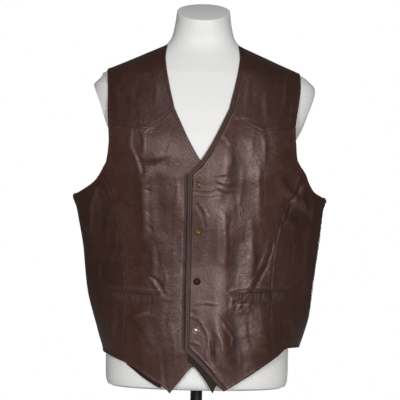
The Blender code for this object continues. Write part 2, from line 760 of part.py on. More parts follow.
def make_form(cloth):
    rings = []

    def add(height, at, side, power, caps=(NO_CAP, NO_CAP), tilt=0.0):
        corner = smooth(height, ARM_CORNER["height"], ARM_CORNER["corner"])
        plan = form_ring(at, side, power, corner, caps)
        slope = math.tan(math.radians(tilt))
        rings.append(np.column_stack([plan, height + (plan[:, 1] - plan[:, 1].mean()) * slope]))

    lowest, highest = ARM_CAP["height"][0], ARM_CAP["height"][-1]
    for height in sorted(set(FORM["height"]) | set(FORM_EXTRA_HEIGHTS)):
        cap = section(ARM_CAP, height)
        caps = (cap["right"], cap["left"]) if lowest <= height <= highest else (NO_CAP, NO_CAP)
        add(height, section(FORM, height), FORM_SIDE, FORM_POWER, caps)
    for height in SHOULDER_HEIGHTS:
        worn = section(VEST, height + SHOULDER_SEAT)
        half = max(worn["left"], NECK["half"][0] + SHOULDER_MARGIN)
        at = {
            "right": half,
            "left": half,
            "front": worn["front"] + SHOULDER_SEAT,
            "back": worn["back"] - SHOULDER_SEAT,
        }
        add(height, at, worn["side"], FORM_POWER)
    low, high = NECK["height"][0], NECK["height"][-1]
    for height in np.linspace(low, high, NECK_RINGS):
        at = section(NECK, height)
        at = {"right": at["half"], "left": at["half"], "front": at["front"], "back": at["back"]}
        add(height, at, NECK_SIDE, NECK_POWER, tilt=NECK_TILT * ease((height - low) / (high - low)))
    inset = {"right": -NECK_ROUND, "left": -NECK_ROUND, "front": NECK_ROUND, "back": -NECK_ROUND}
    lip = {name: at[name] + inset[name] for name in at}
    add(high + NECK_ROUND / 2, lip, NECK_SIDE, NECK_POWER, tilt=NECK_TILT)
    points = np.concatenate([[rings[0].mean(axis=0)], *rings, [rings[-1].mean(axis=0)]])
    make_object("form_torso", points, closed_ring_faces(len(rings), len(rings[0])), cloth, sharp=40)


def make_turned(name, profile, material, around):
    """A round solid from its radii and heights above the floor."""
    points = [(0, 0, profile[0][1] - FORM_RISE)]
    for radius, height in profile:
        for k in range(around):
            angle = 2 * math.pi * k / around
            points.append((radius * math.cos(angle), radius * math.sin(angle), height - FORM_RISE))
    points.append((0, 0, profile[-1][1] - FORM_RISE))
    make_object(name, points, closed_ring_faces(len(profile), around), material)


def make_stand(steel):
    radius = BASE_DIAMETER / 2
    profile = [
        (radius - BASE_LOW_EDGE, 0),
        (radius, BASE_LOW_EDGE),
        (radius, BASE_HEIGHT - BASE_TOP_EDGE),
        (radius - BASE_TOP_EDGE, BASE_HEIGHT),
    ]
    make_turned("stand_base", profile, steel, BASE_AROUND)
    low, high = BASE_HEIGHT + REST_GAP, FORM_RISE - REST_GAP
    make_turned("stand_pole", [(POLE_DIAMETER / 2, low), (POLE_DIAMETER / 2, high)], steel, POLE_AROUND)


def clear_scene():
    for item in list(bpy.data.objects):
        bpy.data.objects.remove(item, do_unlink=True)


def main():
    clear_scene()
    leather = finish("brown_leather", (0.060, 0.032, 0.026), 0.42)
    satin = finish("dark_satin", (0.016, 0.015, 0.011), 0.38)
    cloth = finish("white_form", (0.80, 0.80, 0.79), 0.75)
    steel = finish("black_steel", (0.012, 0.012, 0.013), 0.35, 0.6)
    brass = finish("aged_brass", (0.33, 0.22, 0.11), 0.35, 1.0)
    gold = finish("gold_brass", (0.45, 0.32, 0.13), 0.35, 1.0)
    dark = finish("worn_brass", (0.14, 0.09, 0.06), 0.5, 0.8)
    nickel = finish("bright_nickel", (0.55, 0.50, 0.43), 0.28, 1.0)
    make_fronts(leather)
    make_sides(leather)
    make_back(leather)
    make_welts(leather)
    make_linings(satin)
    make_snaps((brass, gold, dark, nickel))
    make_form(cloth)
    make_stand(steel)


main()
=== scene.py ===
import math

import bpy
import numpy as np
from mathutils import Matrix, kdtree


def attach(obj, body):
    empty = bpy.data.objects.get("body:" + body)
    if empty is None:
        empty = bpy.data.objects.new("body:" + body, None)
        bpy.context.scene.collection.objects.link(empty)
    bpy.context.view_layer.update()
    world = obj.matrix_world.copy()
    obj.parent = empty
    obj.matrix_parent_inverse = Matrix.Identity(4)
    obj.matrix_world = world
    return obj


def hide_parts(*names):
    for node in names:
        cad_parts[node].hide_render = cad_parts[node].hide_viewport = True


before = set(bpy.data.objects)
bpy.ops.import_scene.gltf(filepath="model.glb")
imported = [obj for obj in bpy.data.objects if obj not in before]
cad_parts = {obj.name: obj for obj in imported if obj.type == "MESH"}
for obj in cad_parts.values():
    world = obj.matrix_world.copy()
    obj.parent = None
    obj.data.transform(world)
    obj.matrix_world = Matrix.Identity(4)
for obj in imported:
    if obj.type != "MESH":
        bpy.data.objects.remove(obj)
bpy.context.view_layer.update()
print("frame loaded:", len(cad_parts), "nodes")

mm = 0.001
formRise = 160.0  # the form's lower edge above the floor


# ---- camera, light and floor

studio = {
    "cameraAway": 4.0,
    "cameraHigh": 0.5516,
    "lens": 171.0,
    "roll": -1.1,  # degrees, the photograph leans a little
    "floorRadius": 1.2,
    "floorSides": 96,
    "backdrop": (1.0, 1.0, 1.0),
    "ambient": 0.11,
}
lamps = [
    # name, place in metres, aimed at, size, size across, watts
    ("frontBox", (1.0, -3.3, 0.72), (0.0, 0.0, 0.6), 0.5, 0.9, 56.0),
    ("leftBox", (-0.95, -3.3, 1.12), (0.0, 0.0, 0.6), 0.4, 0.6, 40.0),
    ("topBox", (0.0, -2.2, 2.9), (0.0, 0.0, 0.7), 1.2, 0.8, 16.0),
    ("rearBox", (0.9, 3.0, 0.6), (0.0, 0.0, 0.6), 1.0, 1.0, 46.0),
]


def addObject(name, data):
    item = bpy.data.objects.new(name, data)
    bpy.context.scene.collection.objects.link(item)
    return item


def newMaterial(name, colour, roughness, metallic=0.0):
    material = bpy.data.materials.new(name)
    material.use_nodes = True
    shader = material.node_tree.nodes["Principled BSDF"]
    shader.inputs["Base Color"].default_value = (*colour, 1)
    shader.inputs["Roughness"].default_value = roughness
    shader.inputs["Metallic"].default_value = metallic
    return material, shader


def makeCamera():
    data = bpy.data.cameras.new("photoCamera")
    data.lens = studio["lens"]
    data.clip_end = 50
    camera = addObject("photoCamera", data)
    camera.location = (0, -studio["cameraAway"], studio["cameraHigh"])
    camera.rotation_euler = (math.radians(90), math.radians(studio["roll"]), 0)
    bpy.context.scene.camera = camera


def makeLamps():
    for name, place, aim, wide, high, watts in lamps:
        data = bpy.data.lights.new(name, "AREA")
        data.shape = "RECTANGLE"
        data.size = wide
        data.size_y = high
        data.energy = watts
        lamp = addObject(name, data)
        lamp.location = place
        way = [b - a for a, b in zip(place, aim)]
        flat = math.hypot(way[0], way[1])
        lamp.rotation_euler = (math.atan2(flat, -way[2]), 0, math.atan2(-way[0], way[1]))


def makeWorld():
    world = bpy.data.worlds.new("paleStudio")
    world.use_nodes = True
    nodes, links = world.node_tree.nodes, world.node_tree.links
    shown = nodes["Background"]
    shown.inputs["Color"].default_value = (*studio["backdrop"], 1)
    shown.inputs["Strength"].default_value = 1.0
    soft = nodes.new("ShaderNodeBackground")
    soft.inputs["Color"].default_value = (1, 1, 1, 1)
    soft.inputs["Strength"].default_value = studio["ambient"]
    seen = nodes.new("ShaderNodeLightPath")
    mix = nodes.new("ShaderNodeMixShader")
    links.new(seen.outputs["Is Camera Ray"], mix.inputs["Fac"])
    links.new(soft.outputs[0], mix.inputs[1])
    links.new(shown.outputs[0], mix.inputs[2])
    links.new(mix.outputs[0], nodes["World Output"].inputs["Surface"])
    bpy.context.scene.world = world
    bpy.context.scene.view_settings.view_transform = "Standard"


def makeFloor():
    turns = np.linspace(0, 2 * math.pi, studio["floorSides"], endpoint=False)
    ring = [(studio["floorRadius"] * math.cos(a), studio["floorRadius"] * math.sin(a), 0) for a in turns]
    mesh = bpy.data.meshes.new("paleFloor")
    mesh.from_pydata(ring, [], [tuple(range(len(ring)))])
    floor = addObject("paleFloor", mesh)
    mesh.materials.append(newMaterial("paleFloorPaint", (0.86, 0.86, 0.85), 0.7)[0])


makeCamera()
makeLamps()
makeWorld()
makeFloor()
print("studio ready")


# ---- curves and tables

def table(names, rows):
    return dict(zip(names.split(), np.array(rows, float).T))


def smooth(at, knots, values):
    # a cubic through the knots that never overshoots them
    step = np.diff(knots)
    rise = np.diff(values) / step
    same = rise[:-1] * rise[1:]
    slope = np.empty(len(knots))
    slope[0], slope[-1] = rise[0], rise[-1]
    slope[1:-1] = np.where(same > 0, 2 * same / np.where(same > 0, rise[:-1] + rise[1:], 1), 0)
    at = np.clip(at, knots[0], knots[-1])
    k = np.clip(np.searchsorted(knots, at, side="right") - 1, 0, len(step) - 1)
    s = (at - knots[k]) / step[k]
    return (
        values[k] * (1 + 2 * s) * (1 - s) ** 2
        + slope[k] * step[k] * s * (1 - s) ** 2
        + values[k + 1] * s**2 * (3 - 2 * s)
        - slope[k + 1] * step[k] * s**2 * (1 - s)
    )


def section(cut, height):
    return {name: smooth(height, cut["height"], cut[name]) for name in cut if name != "height"}


def ease(share):
    share = np.clip(share, 0, 1)
    return share**2 * (3 - 2 * share)


def unit(values):
    return values / np.linalg.norm(values, axis=-1, keepdims=True)


def walked(curve):
    return np.concatenate([[0], np.cumsum(np.linalg.norm(np.diff(curve, axis=0), axis=1))])


def along(points, shares):
    # places at these shares of the length of a smooth curve through the points
    fineSteps = 400
    points = np.array(points, float)
    chord = walked(points)
    fine = np.linspace(0, chord[-1], fineSteps)
    curve = np.stack([smooth(fine, chord, points[:, k]) for k in (0, 1)], axis=-1)
    run = walked(curve)
    return np.stack([np.interp(np.asarray(shares) * run[-1], run, curve[:, k]) for k in (0, 1)], axis=-1)


def noise(points, cell, seed):
    # soft lumps of about the size of a cell, from -1 to 1
    seedShift = 7.31
    spot = points / cell + seed * seedShift
    whole = np.floor(spot).astype(np.int64)
    part = spot - whole
    part = part**2 * (3 - 2 * part)
    total = np.zeros(points.shape[:-1])
    for corner in np.ndindex(2, 2, 2):
        at = whole + corner
        # large odd factors scatter the codes of neighbouring corners
        code = (at[..., 0] * 73856093) ^ (at[..., 1] * 19349663) ^ (at[..., 2] * 83492791) ^ (seed * 2971)
        code = (code ^ (code >> 13)) * 1274126177 & 0x7FFFFFFF
        weight = np.prod(np.where(corner, part, 1 - part), axis=-1)
        total += weight * ((code >> 8) % 4096 / 2047.5 - 1)
    return total


# ---- the worn shape, as the part has it

vestCut = table("height right left side front back frontPower backPower", [
    (-40, 192, 206, 4, -125, 127, 2.05, 2.10),
    (30, 193, 208, 4, -125, 127, 2.05, 2.10),
    (70, 197, 211, 4, -125, 126, 2.05, 2.10),
    (108, 207, 222, 4, -124, 124, 2.00, 2.05),
    (157, 221, 235, 4, -122, 120, 1.95, 2.00),
    (192, 231, 240, 4, -121, 117, 1.90, 2.00),
    (239, 239, 246, 4, -121, 114, 1.85, 2.00),
    (297, 246, 254, 4, -124, 113, 1.80, 2.00),
    (345, 255, 259, 5, -128, 115, 1.75, 2.00),
    (372, 261, 262, 5, -130, 117, 1.72, 2.00),
    (395, 268, 267, 5, -131, 118, 1.72, 2.00),
    (415, 266, 266, 5, -132, 119, 1.75, 2.05),
    (440, 261, 262, 5, -133, 120, 1.85, 2.15),
    (470, 257, 258, 6, -133, 121, 1.95, 2.25),
    (511, 254, 255, 7, -129, 121, 2.10, 2.30),
    (550, 252, 253, 7, -121, 120, 2.20, 2.30),
    (600, 246, 247, 8, -106, 112, 2.20, 2.30),
    (631, 238, 239, 8, -93, 102, 2.20, 2.30),
    (650, 224, 224, 8, -84, 93, 2.20, 2.30),
    (661, 205, 205, 8, -79, 88, 2.20, 2.30),
    (680, 161, 161, 8, -68, 78, 2.20, 2.30),
    (700, 116, 116, 8, -57, 67, 2.20, 2.30),
    (719, 73, 73, 8, -44, 55, 2.20, 2.30),
    (735, 37, 37, 8, -36, 46, 2.20, 2.30),
])

# Border lines as x and height in the front view.
frontEdgeLeft = [(-25.6, 84), (-25.6, 250), (-25.3, 445)]
frontEdgeRight = [(25.0, 84), (25.0, 250), (25.0, 445)]
neckLeft = [(-25.3, 445), (0, 472), (23, 510), (40, 545), (56, 580)]
neckRight = [(25.0, 445), (0, 472), (-23, 510), (-40, 545), (-56, 580)]
yokeNeckLeft = [(56, 580), (67, 626), (75.5, 671), (77.5, 690), (76.5, 704), (73, 719)]
shoulderLeft = [(73, 719), (205, 661)]
shoulderRight = [(-73, 719), (-199, 663.6)]
hemLeftInner = [(-25.6, 84), (1, 59), (22, 37), (43, 13), (56, 1)]
hemLeftOuter = [(56, 1), (80, 15), (108, 32), (126, 44), (152, 61)]
hemLeftSide = [(152, 61), (168, 72), (189, 87), (205, 87)]
hemRightInner = [(25, 84), (-2, 58), (-18, 42), (-37, 18), (-55, -5)]
hemRightOuter = [(-55, -5), (-64, 4), (-101, 26), (-126, 43), (-151, 55)]
hemRightSide = [(-151, 55), (-172, 62), (-190, 69)]
longSeamLeft = [(152, 61), (150, 197), (154, 269), (163, 330), (181, 392), (200, 440), (208, 463)]
longSeamRight = [(-151, 55), (-150, 197), (-154, 269), (-163, 330), (-181, 392), (-197, 434), (-204, 451)]
yokeSeamLeft = [(56, 580), (90, 553), (124, 535), (158, 541), (194, 546)]
yokeSeamRight = [(-56, 580), (-84, 556), (-115, 535), (-152, 541), (-193, 546)]
armUpperLeft = [(194, 546), (198, 575), (202, 601), (205, 635), (205, 661)]
armUpperRight = [(-193, 546), (-195, 580), (-196, 615), (-198, 645), (-199, 663.6)]
armChestLeft = [(208, 463), (199, 480), (196, 506), (194, 546)]
armChestRight = [(-204, 451), (-195, 470), (-191, 511), (-193, 546)]
armLowerLeft = [(208, 463), (218, 449), (226, 430), (238, 412), (255, 402)]
armLowerRight = [(-204, 451), (-212, 437), (-222, 425), (-239, 413), (-257, 403)]
armBackLow = [(250, 404), (232, 416), (217, 432), (205, 455), (195, 490)]
armBackHigh = [(195, 490), (190, 530), (190, 575), (194, 615), (201, 648)]
backNeck = [(73, 719), (66, 713), (45, 705), (0, 701)]
seamPlan = {
    "sideAngle": 97.0,  # degrees from the centre front
    "armLowest": 396.0,
    "hemLeft": 84.0,
    "hemBack": 64.0,
    "hemRight": 70.0,
    "spreadTop": 550.0,  # above it the back's angles keep the widths of this height
    "ridgeCrowd": 2.0,
    "neckCrowd": 3.0,
    "tip": 205.0,  # the shoulder's end, from the middle
}

foldNames = "x height x2 height2 reach rise"
folds = table(foldNames, [
    (-112, 438, -109, 320, 15, 3.0),
    (-84, 430, -80, 330, 13, -1.6),
    (-44, 415, -42, 358, 12, 1.8),
    (-214, 405, -226, 330, 12, 3.0),
    (-196, 380, -204, 300, 13, -2.4),
    (-118, 466, -76, 463, 9, -1.6),
    (-168, 165, -176, 92, 13, 2.4),
    (-120, 150, -98, 60, 16, 2.2),
    (54, 505, 52, 425, 12, 2.6),
    (47, 362, 45, 268, 13, 2.2),
    (104, 292, 99, 205, 14, 2.6),
    (78, 300, 70, 215, 13, -1.8),
    (176, 436, 205, 395, 10, -3.0),
    (186, 412, 226, 368, 11, 3.4),
    (176, 380, 214, 338, 12, -2.2),
    (214, 330, 224, 210, 14, 2.2),
    (36, 148, 62, 52, 13, 2.8),
    (70, 150, 92, 62, 13, -2.0),
    (130, 160, 136, 92, 14, 2.2),
    (120, 440, 126, 360, 16, 2.0),
])
backFolds = table(foldNames, [
    (-60, 330, -52, 170, 18, 3.0),
    (-20, 300, -26, 120, 17, -2.4),
    (30, 340, 24, 160, 18, 2.8),
    (78, 310, 88, 130, 18, -2.6),
    (120, 400, 106, 260, 17, 2.6),
    (-120, 395, -104, 250, 17, 2.8),
    (-150, 260, -142, 110, 16, -2.2),
    (150, 250, 148, 110, 16, 2.2),
    (0, 620, 0, 520, 24, -2.0),
])

# The creases that the folds carry. Bow bends a crease sideways, and its two
# flanks reach differently far. Rise over 0 is a ridge, under 0 a trough.
creaseNames = "x height x2 height2 bow near far rise"
creases = table(creaseNames, [
    # right front, under the yoke
    (-121, 530, -119, 478, 2, 4, 6, 0.9),
    (-143, 530, -146, 486, -2, 5, 4, 0.8),
    (-142, 491, -123, 434, 3, 4, 5, 1.1),
    (-134, 486, -117, 440, 3, 3, 3, -0.7),
    (-124, 465, -73, 472, -3, 2.6, 4, -1.1),
    (-118, 460, -80, 464, -3, 3, 3, 0.5),
    (-62, 505, -74, 470, 2, 4, 5, 0.6),
    # right front, the long shine beside the chest
    (-117, 434, -106, 298, -3, 4, 6, 1.1),
    (-104, 430, -97, 318, -2, 2.4, 4, -0.9),
    (-125, 420, -119, 330, 2, 3, 4, -0.7),
    (-118, 412, -103, 408, 1, 2.2, 3, -0.7),
    (-119, 372, -106, 365, 1, 2.2, 3, -0.6),
    (-112, 339, -100, 331, 1, 2.0, 3, -0.5),
    (-96, 292, -92, 228, 2, 4, 6, 0.9),
    (-87, 290, -84, 240, 2, 2.4, 3, -0.6),
    (-68, 238, -67, 206, 1, 3, 4, 0.8),
    (-49, 300, -48, 252, -2, 4, 5, 0.8),
    (-95, 231, -71, 200, 3, 2.2, 3.4, -1.3),
    (-101, 228, -79, 198, 3, 3, 3, 0.8),
    (-48, 434, -46, 378, 1, 2.6, 4, 1.0),
    (-41, 430, -39, 384, 1, 2.2, 3, -0.7),
    (-34, 375, -33, 334, 1, 2.4, 4, 0.7),
    (-147, 384, -136, 381, 1, 3, 3, 0.7),
    (-56, 356, -60, 300, 2, 4, 4, -0.5),
    # right front, low
    (-124, 149, -97, 150, 5, 4, 7, 0.9),
    (-140, 140, -104, 92, 5, 3.4, 5, -0.8),
    (-70, 82, -61, 4, -2, 2.4, 3.4, -0.8),
    (-77, 80, -68, 8, -2, 3, 4, 0.4),
    (-52, 120, -44, 60, 2, 5, 5, 0.7),
    (-60, 178, -66, 128, -2, 4, 5, -0.6),
    # right side front
    (-207, 417, -217, 396, -2, 2.6, 3.6, 1.1),
    (-217, 396, -225, 371, -1, 2.2, 3.6, 1.0),
    (-225, 371, -226, 334, 1, 2.2, 4, 0.9),
    (-217, 388, -221, 338, 1, 2.4, 3, -0.8),
    (-182, 352, -190, 282, 3, 4, 5, -0.8),
    (-172, 330, -178, 262, 3, 3, 4, 0.6),
    (-205, 270, -202, 214, -2, 5, 4, 0.8),
    (-164, 168, -170, 92, 3, 3, 4, -0.8),
    (-186, 160, -184, 104, -2, 4, 4, 0.7),
    # right front, hollow along the lapped edge
    (-29.5, 90, -29.5, 250, 0, 4.0, 4.6, -2.2),
    (-29.5, 250, -29.2, 436, 0, 4.0, 3.6, -2.0),
    # left front, by the yoke and the neck
    (62, 560, 99, 561, 4, 4, 7, 0.9),
    (128, 528, 131, 482, 2, 4, 5, 0.8),
    (108, 540, 104, 490, -2, 5, 4, 0.6),
    (32, 521, 49, 503, 2, 2.2, 3, -1.0),
    (38, 528, 54, 511, 2, 2.6, 3, 0.7),
    (61, 485, 62, 462, 1, 4, 5, 0.9),
    (24, 500, 30, 470, 2, 3, 3, -0.6),
    # left front, crumples level with the first snap
    (30, 441, 61, 445, 2, 1.8, 2.2, 0.9),
    (33, 436, 60, 438, 2, 1.5, 1.8, -0.9),
    (33, 431, 62, 429, -2, 1.8, 2.2, 0.8),
    (34, 425, 61, 421, -2, 1.6, 1.8, -0.9),
    (35, 418, 60, 412, -2, 1.8, 2.4, 0.8),
    (38, 411, 58, 404, -1, 1.6, 2, -0.7),
    (-10, 408, 30, 409, -3, 1.8, 2.4, -1.1),
    (-6, 403, 28, 403, -3, 2.0, 2.6, 0.6),
    (-8, 382, 8, 340, 4, 2.0, 3, -0.9),
    (-2, 384, 14, 344, 4, 2.4, 3, 0.6),
    # left front, long vertical shines
    (50, 356, 52, 260, 2, 3.4, 5, 1.0),
    (41, 352, 43, 276, 2, 2.4, 3, -0.6),
    (60, 340, 63, 282, -2, 2.6, 4, -0.6),
    (105, 343, 108, 210, 3, 4.5, 6, 1.1),
    (92, 330, 95, 232, 2, 2.6, 4, -0.7),
    (151, 303, 110, 208, 6, 2.8, 4.2, -1.3),
    (142, 306, 101, 214, 6, 4, 3, 0.9),
    (119, 455, 121, 372, -2, 3.4, 5, 0.9),
    (128, 448, 131, 384, -2, 2.4, 3, -0.6),
    (84, 452, 80, 388, 2, 4, 5, 0.7),
    (72, 404, 76, 352, 2, 3, 4, -0.6),
    (84, 262, 80, 212, -2, 3, 4, 0.7),
    # left front, low
    (0, 179, 39, 180, 1, 1.6, 2.4, 0.9),
    (0, 174, 36, 175, 1, 1.8, 2.2, -0.7),
    (38, 156, 46, 148, 2, 2.0, 3, 1.1),
    (46, 148, 56, 132, 2, 2.0, 3, 1.5),
    (56, 132, 73, 110, 2, 2.0, 3, 1.7),
    (73, 110, 72, 96, -1, 2.4, 3, 1.3),
    (72, 96, 58, 84, -2, 2.6, 3, 0.9),
    (50, 155, 78, 121, 3, 2.6, 3, 0.8),
    (52, 117, 54, 50, 1, 4, 6, 1.1),
    (30, 96, 33, 60, 1, 2.0, 3, -1.3),
    (38, 104, 41, 58, 1, 2.4, 3, 0.7),
    (-14, 153, 1, 147, 2, 1.8, 2.4, 1.5),
    (1, 147, 11, 134, 2, 1.8, 2.4, 1.6),
    (11, 134, 19, 116, 2, 1.8, 2.6, 1.6),
    (19, 116, 22, 96, 1, 1.8, 2.6, 1.4),
    (22, 96, 20, 68, -1, 1.8, 2.6, 1.0),
    (-16, 164, -4, 158, 2, 1.8, 2.2, -1.0),
    (-10, 100, 2, 96, 1, 2.0, 2.2, 0.9),
    (40, 118, 50, 92, 3, 5, 5, 1.3),
    (50, 92, 46, 60, -2, 5, 6, 1.5),
    (30, 116, 32, 66, 2, 3.6, 3.6, -1.6),
    (87, 114, 128, 114, 6, 6, 8, 0.6),
    (104, 160, 112, 98, -3, 4, 5, -0.6),
    (84, 96, 88, 48, 2, 4, 4, 0.6),
    # the crumpled inner end of the left welt
    (66, 206, 84, 210, 2, 2, 3, 1.2),
    (62, 200, 68, 176, 3, 2, 3, 1.2),
    (57, 196, 62, 178, 3, 2, 2.4, -1.0),
    (52, 212, 60, 190, 2, 2.4, 3, 0.8),
    # left side front, the pinch under the arm
    (206, 429, 186, 395, 3, 2.4, 3.4, -1.8),
    (186, 395, 171, 343, 3, 2.4, 4, -1.5),
    (197, 412, 193, 378, 2, 2.2, 3, 1.1),
    (212, 424, 211, 388, -2, 2.4, 3.4, 1.2),
    (221, 420, 224, 376, -2, 2.6, 3.4, -0.9),
    (230, 412, 232, 352, 1, 3, 4, 0.8),
    (206, 352, 212, 276, 3, 4, 5, -0.8),
    (190, 340, 196, 262, 2, 3, 5, 0.7),
    (186, 250, 190, 214, 1, 3, 4, -0.5),
    (192, 168, 198, 100, 3, 4, 5, 0.8),
    (172, 160, 176, 104, 2, 3, 4, -0.7),
    # yokes
    (-176, 620, -172, 566, 2, 5, 6, 0.7),
    (-132, 626, -136, 572, -2, 5, 6, -0.6),
    (-96, 640, -94, 590, 2, 5, 6, 0.6),
    (128, 612, 132, 560, 2, 4, 6, 0.9),
    (118, 604, 120, 566, 2, 3, 4, -0.5),
    (170, 640, 168, 592, 2, 4, 5, 0.8),
    (186, 596, 183, 560, 2, 3.4, 4, 0.8),
    (98, 640, 92, 590, -2, 4, 6, 0.6),
    # the mouths of the pockets, over the welts
    (-186, 210.5, -72, 203.5, 0, 3.2, 2.4, 0.9),
    (69, 211.5, 190, 215.5, 0, 2.4, 3.2, 0.9),
    # pulled in round the snaps
    (-4, 422, -2, 422, 0, 12, 12, -0.9),
    (-4, 325, -2, 325, 0, 12, 12, -0.9),
    (-4, 225, -2, 225, 0, 12, 12, -0.9),
    (-4, 126, -2, 126, 0, 12, 12, -0.9),
])
backCreases = table(creaseNames, [
    (-66, 320, -58, 186, 3, 4, 7, 1.0),
    (-48, 310, -44, 190, 3, 3, 4, -0.8),
    (-22, 300, -28, 130, -4, 4, 5, -1.0),
    (28, 330, 20, 170, 4, 4, 7, 1.0),
    (42, 322, 38, 190, 3, 3, 4, -0.7),
    (84, 300, 92, 140, -3, 4, 6, -0.9),
    (128, 390, 112, 262, 4, 4, 6, 1.0),
    (-128, 388, -110, 250, -4, 4, 6, 1.0),
    (-150, 420, -120, 392, 5, 3, 4, -1.0),
    (150, 424, 118, 398, -5, 3, 4, -1.0),
    (-176, 398, -140, 344, 5, 4, 5, 0.9),
    (176, 402, 142, 350, -5, 4, 5, 0.9),
    (-70, 452, 10, 440, 6, 3, 4, -0.8),
    (-20, 466, 66, 458, -6, 3, 4, -0.8),
    (-90, 560, -60, 500, 6, 6, 8, 0.8),
    (92, 566, 64, 504, -6, 6, 8, 0.8),
    (-34, 640, -30, 570, 3, 7, 9, 0.7),
    (40, 636, 34, 566, 3, 7, 9, 0.7),
    (0, 216, 6, 120, 3, 5, 6, 0.8),
    (-98, 206, -92, 112, 3, 5, 6, 0.8),
    (116, 214, 112, 118, -3, 5, 6, 0.7),
    (-150, 200, -146, 120, 3, 4, 6, -0.8),
    (160, 218, 156, 128, 3, 4, 6, 0.7),
    (60, 160, 66, 90, 3, 4, 5, -0.7),
])

# patches of leather crumpled all over: centre, half sizes, size of a crumple and its rise
crumples = table("x height wide high cell rise", [
    (88, 182, 20, 21, 7.5, 2.6),
    (45, 424, 17, 20, 7.5, 0.7),
    (-86, 190, 26, 9, 7.0, 0.5),
    (58, 520, 14, 16, 8.0, 0.5),
    (214, 408, 14, 22, 8.0, 0.6),
])

cloth = {
    "wall": 2.0,
    "lapLift": 3.8,  # the left front's height over the right one
    "lapFull": 30.0,
    "lapEnd": 95.0,
    "lapTop": 575.0,
    "lapEase": 70.0,
    "sway": 1.7,  # broad unevenness
    "swayCell": 74.0,
    "rumple": 1.0,
    "rumpleCell": 36.0,
    "crinkle": 0.24,  # fine ridges of worn leather
    "crinkleCell": 13.0,
    "calmFrom": 632.0,  # the shoulders lie smooth on the form
    "calmTo": 668.0,
    "calm": 0.75,
    "flankEase": 0.06,  # folds and creases fade out at the sides
    "wobble": 1.6,  # how far creases stray from their lines
    "wobbleCell": 16.0,
    "warpCell": 24.0,
    "foldTaper": 0.45,  # folds and creases are lower towards their ends
    "creaseTaper": 0.5,
    "taperPower": 1.5,
}


def halfWidth(x, at):
    return np.where(x < 0, at["right"], at["left"])


ridgeHeights = np.linspace(600, 735, 271)
ridgeWidths = smooth(ridgeHeights, vestCut["height"], vestCut["left"])


def ridgeAt(x):
    # the height of the shoulder's ridge over this distance from the middle
    return np.interp(np.abs(x), ridgeWidths[::-1], ridgeHeights[::-1])


def facePoint(x, height, front=True):
    height = np.minimum(height, ridgeAt(x))
    at = section(vestCut, height)
    power, depth = (at["frontPower"], at["front"]) if front else (at["backPower"], at["back"])
    share = np.clip(np.abs(x) / halfWidth(x, at), 0, 1)
    bulge = (1 - share**power) ** (1 / power)
    return np.stack([x, at["side"] + (depth - at["side"]) * bulge, height], axis=-1)


def roundPoint(angle, height):
    at = section(vestCut, height)
    ahead = np.cos(angle) >= 0
    power = np.where(ahead, at["frontPower"], at["backPower"])
    depth = np.where(ahead, at["front"], at["back"]) - at["side"]
    x = np.sign(angle) * halfWidth(angle, at) * np.abs(np.sin(angle)) ** (2 / power)
    return np.stack([x, at["side"] + depth * np.abs(np.cos(angle)) ** (2 / power), height], axis=-1)


def frontAngle(x, height):
    at = section(vestCut, height)
    share = np.clip(np.abs(x) / halfWidth(x, at), 0, 1)
    return np.sign(x) * np.arcsin(share ** (at["frontPower"] / 2))


def bodyLevel(points):
    x, y, height = np.moveaxis(points, -1, 0)
    at = section(vestCut, height)
    ahead = y < at["side"]
    power = np.where(ahead, at["frontPower"], at["backPower"])
    depth = np.where(ahead, at["side"] - at["front"], at["back"] - at["side"])
    return (np.abs(x) / halfWidth(x, at)) ** power + (np.abs(y - at["side"]) / depth) ** power


def outward(points):
    step = np.eye(3) * 0.4
    return unit(np.stack([bodyLevel(points + d) - bodyLevel(points - d) for d in step], axis=-1))


def inRows(cut):
    return zip(*cut.values())


def folded(x, height, cut):
    total = np.zeros(np.shape(x))
    for x1, z1, x2, z2, reach, rise in inRows(cut):
        run = np.array([x2 - x1, z2 - z1])
        share = np.clip(((x - x1) * run[0] + (height - z1) * run[1]) / (run @ run), 0, 1)
        away = np.hypot(x - x1 - share * run[0], height - z1 - share * run[1])
        uneven = 1 - cloth["foldTaper"] * np.abs(2 * share - 1)
        total += rise * uneven * np.exp(-((away / reach) ** 2))
    return total


def creased(x, height, wobble, cut):
    total = np.zeros(np.shape(x))
    for x1, z1, x2, z2, bow, near, far, rise in inRows(cut):
        run = np.array([x2 - x1, z2 - z1])
        length = np.hypot(*run)
        walk = ((x - x1) * run[0] + (height - z1) * run[1]) / length**2
        share = np.clip(walk, 0, 1)
        side = ((height - z1) * run[0] - (x - x1) * run[1]) / length
        side = side - bow * 4 * share * (1 - share) + wobble
        side = side / np.where(side < 0, near, far)
        past = (walk - share) * length / (near + far)
        uneven = 1 - cloth["creaseTaper"] * np.abs(2 * share - 1) ** cloth["taperPower"]
        total += rise * uneven * np.exp(-(side**2) - past**2)
    return total


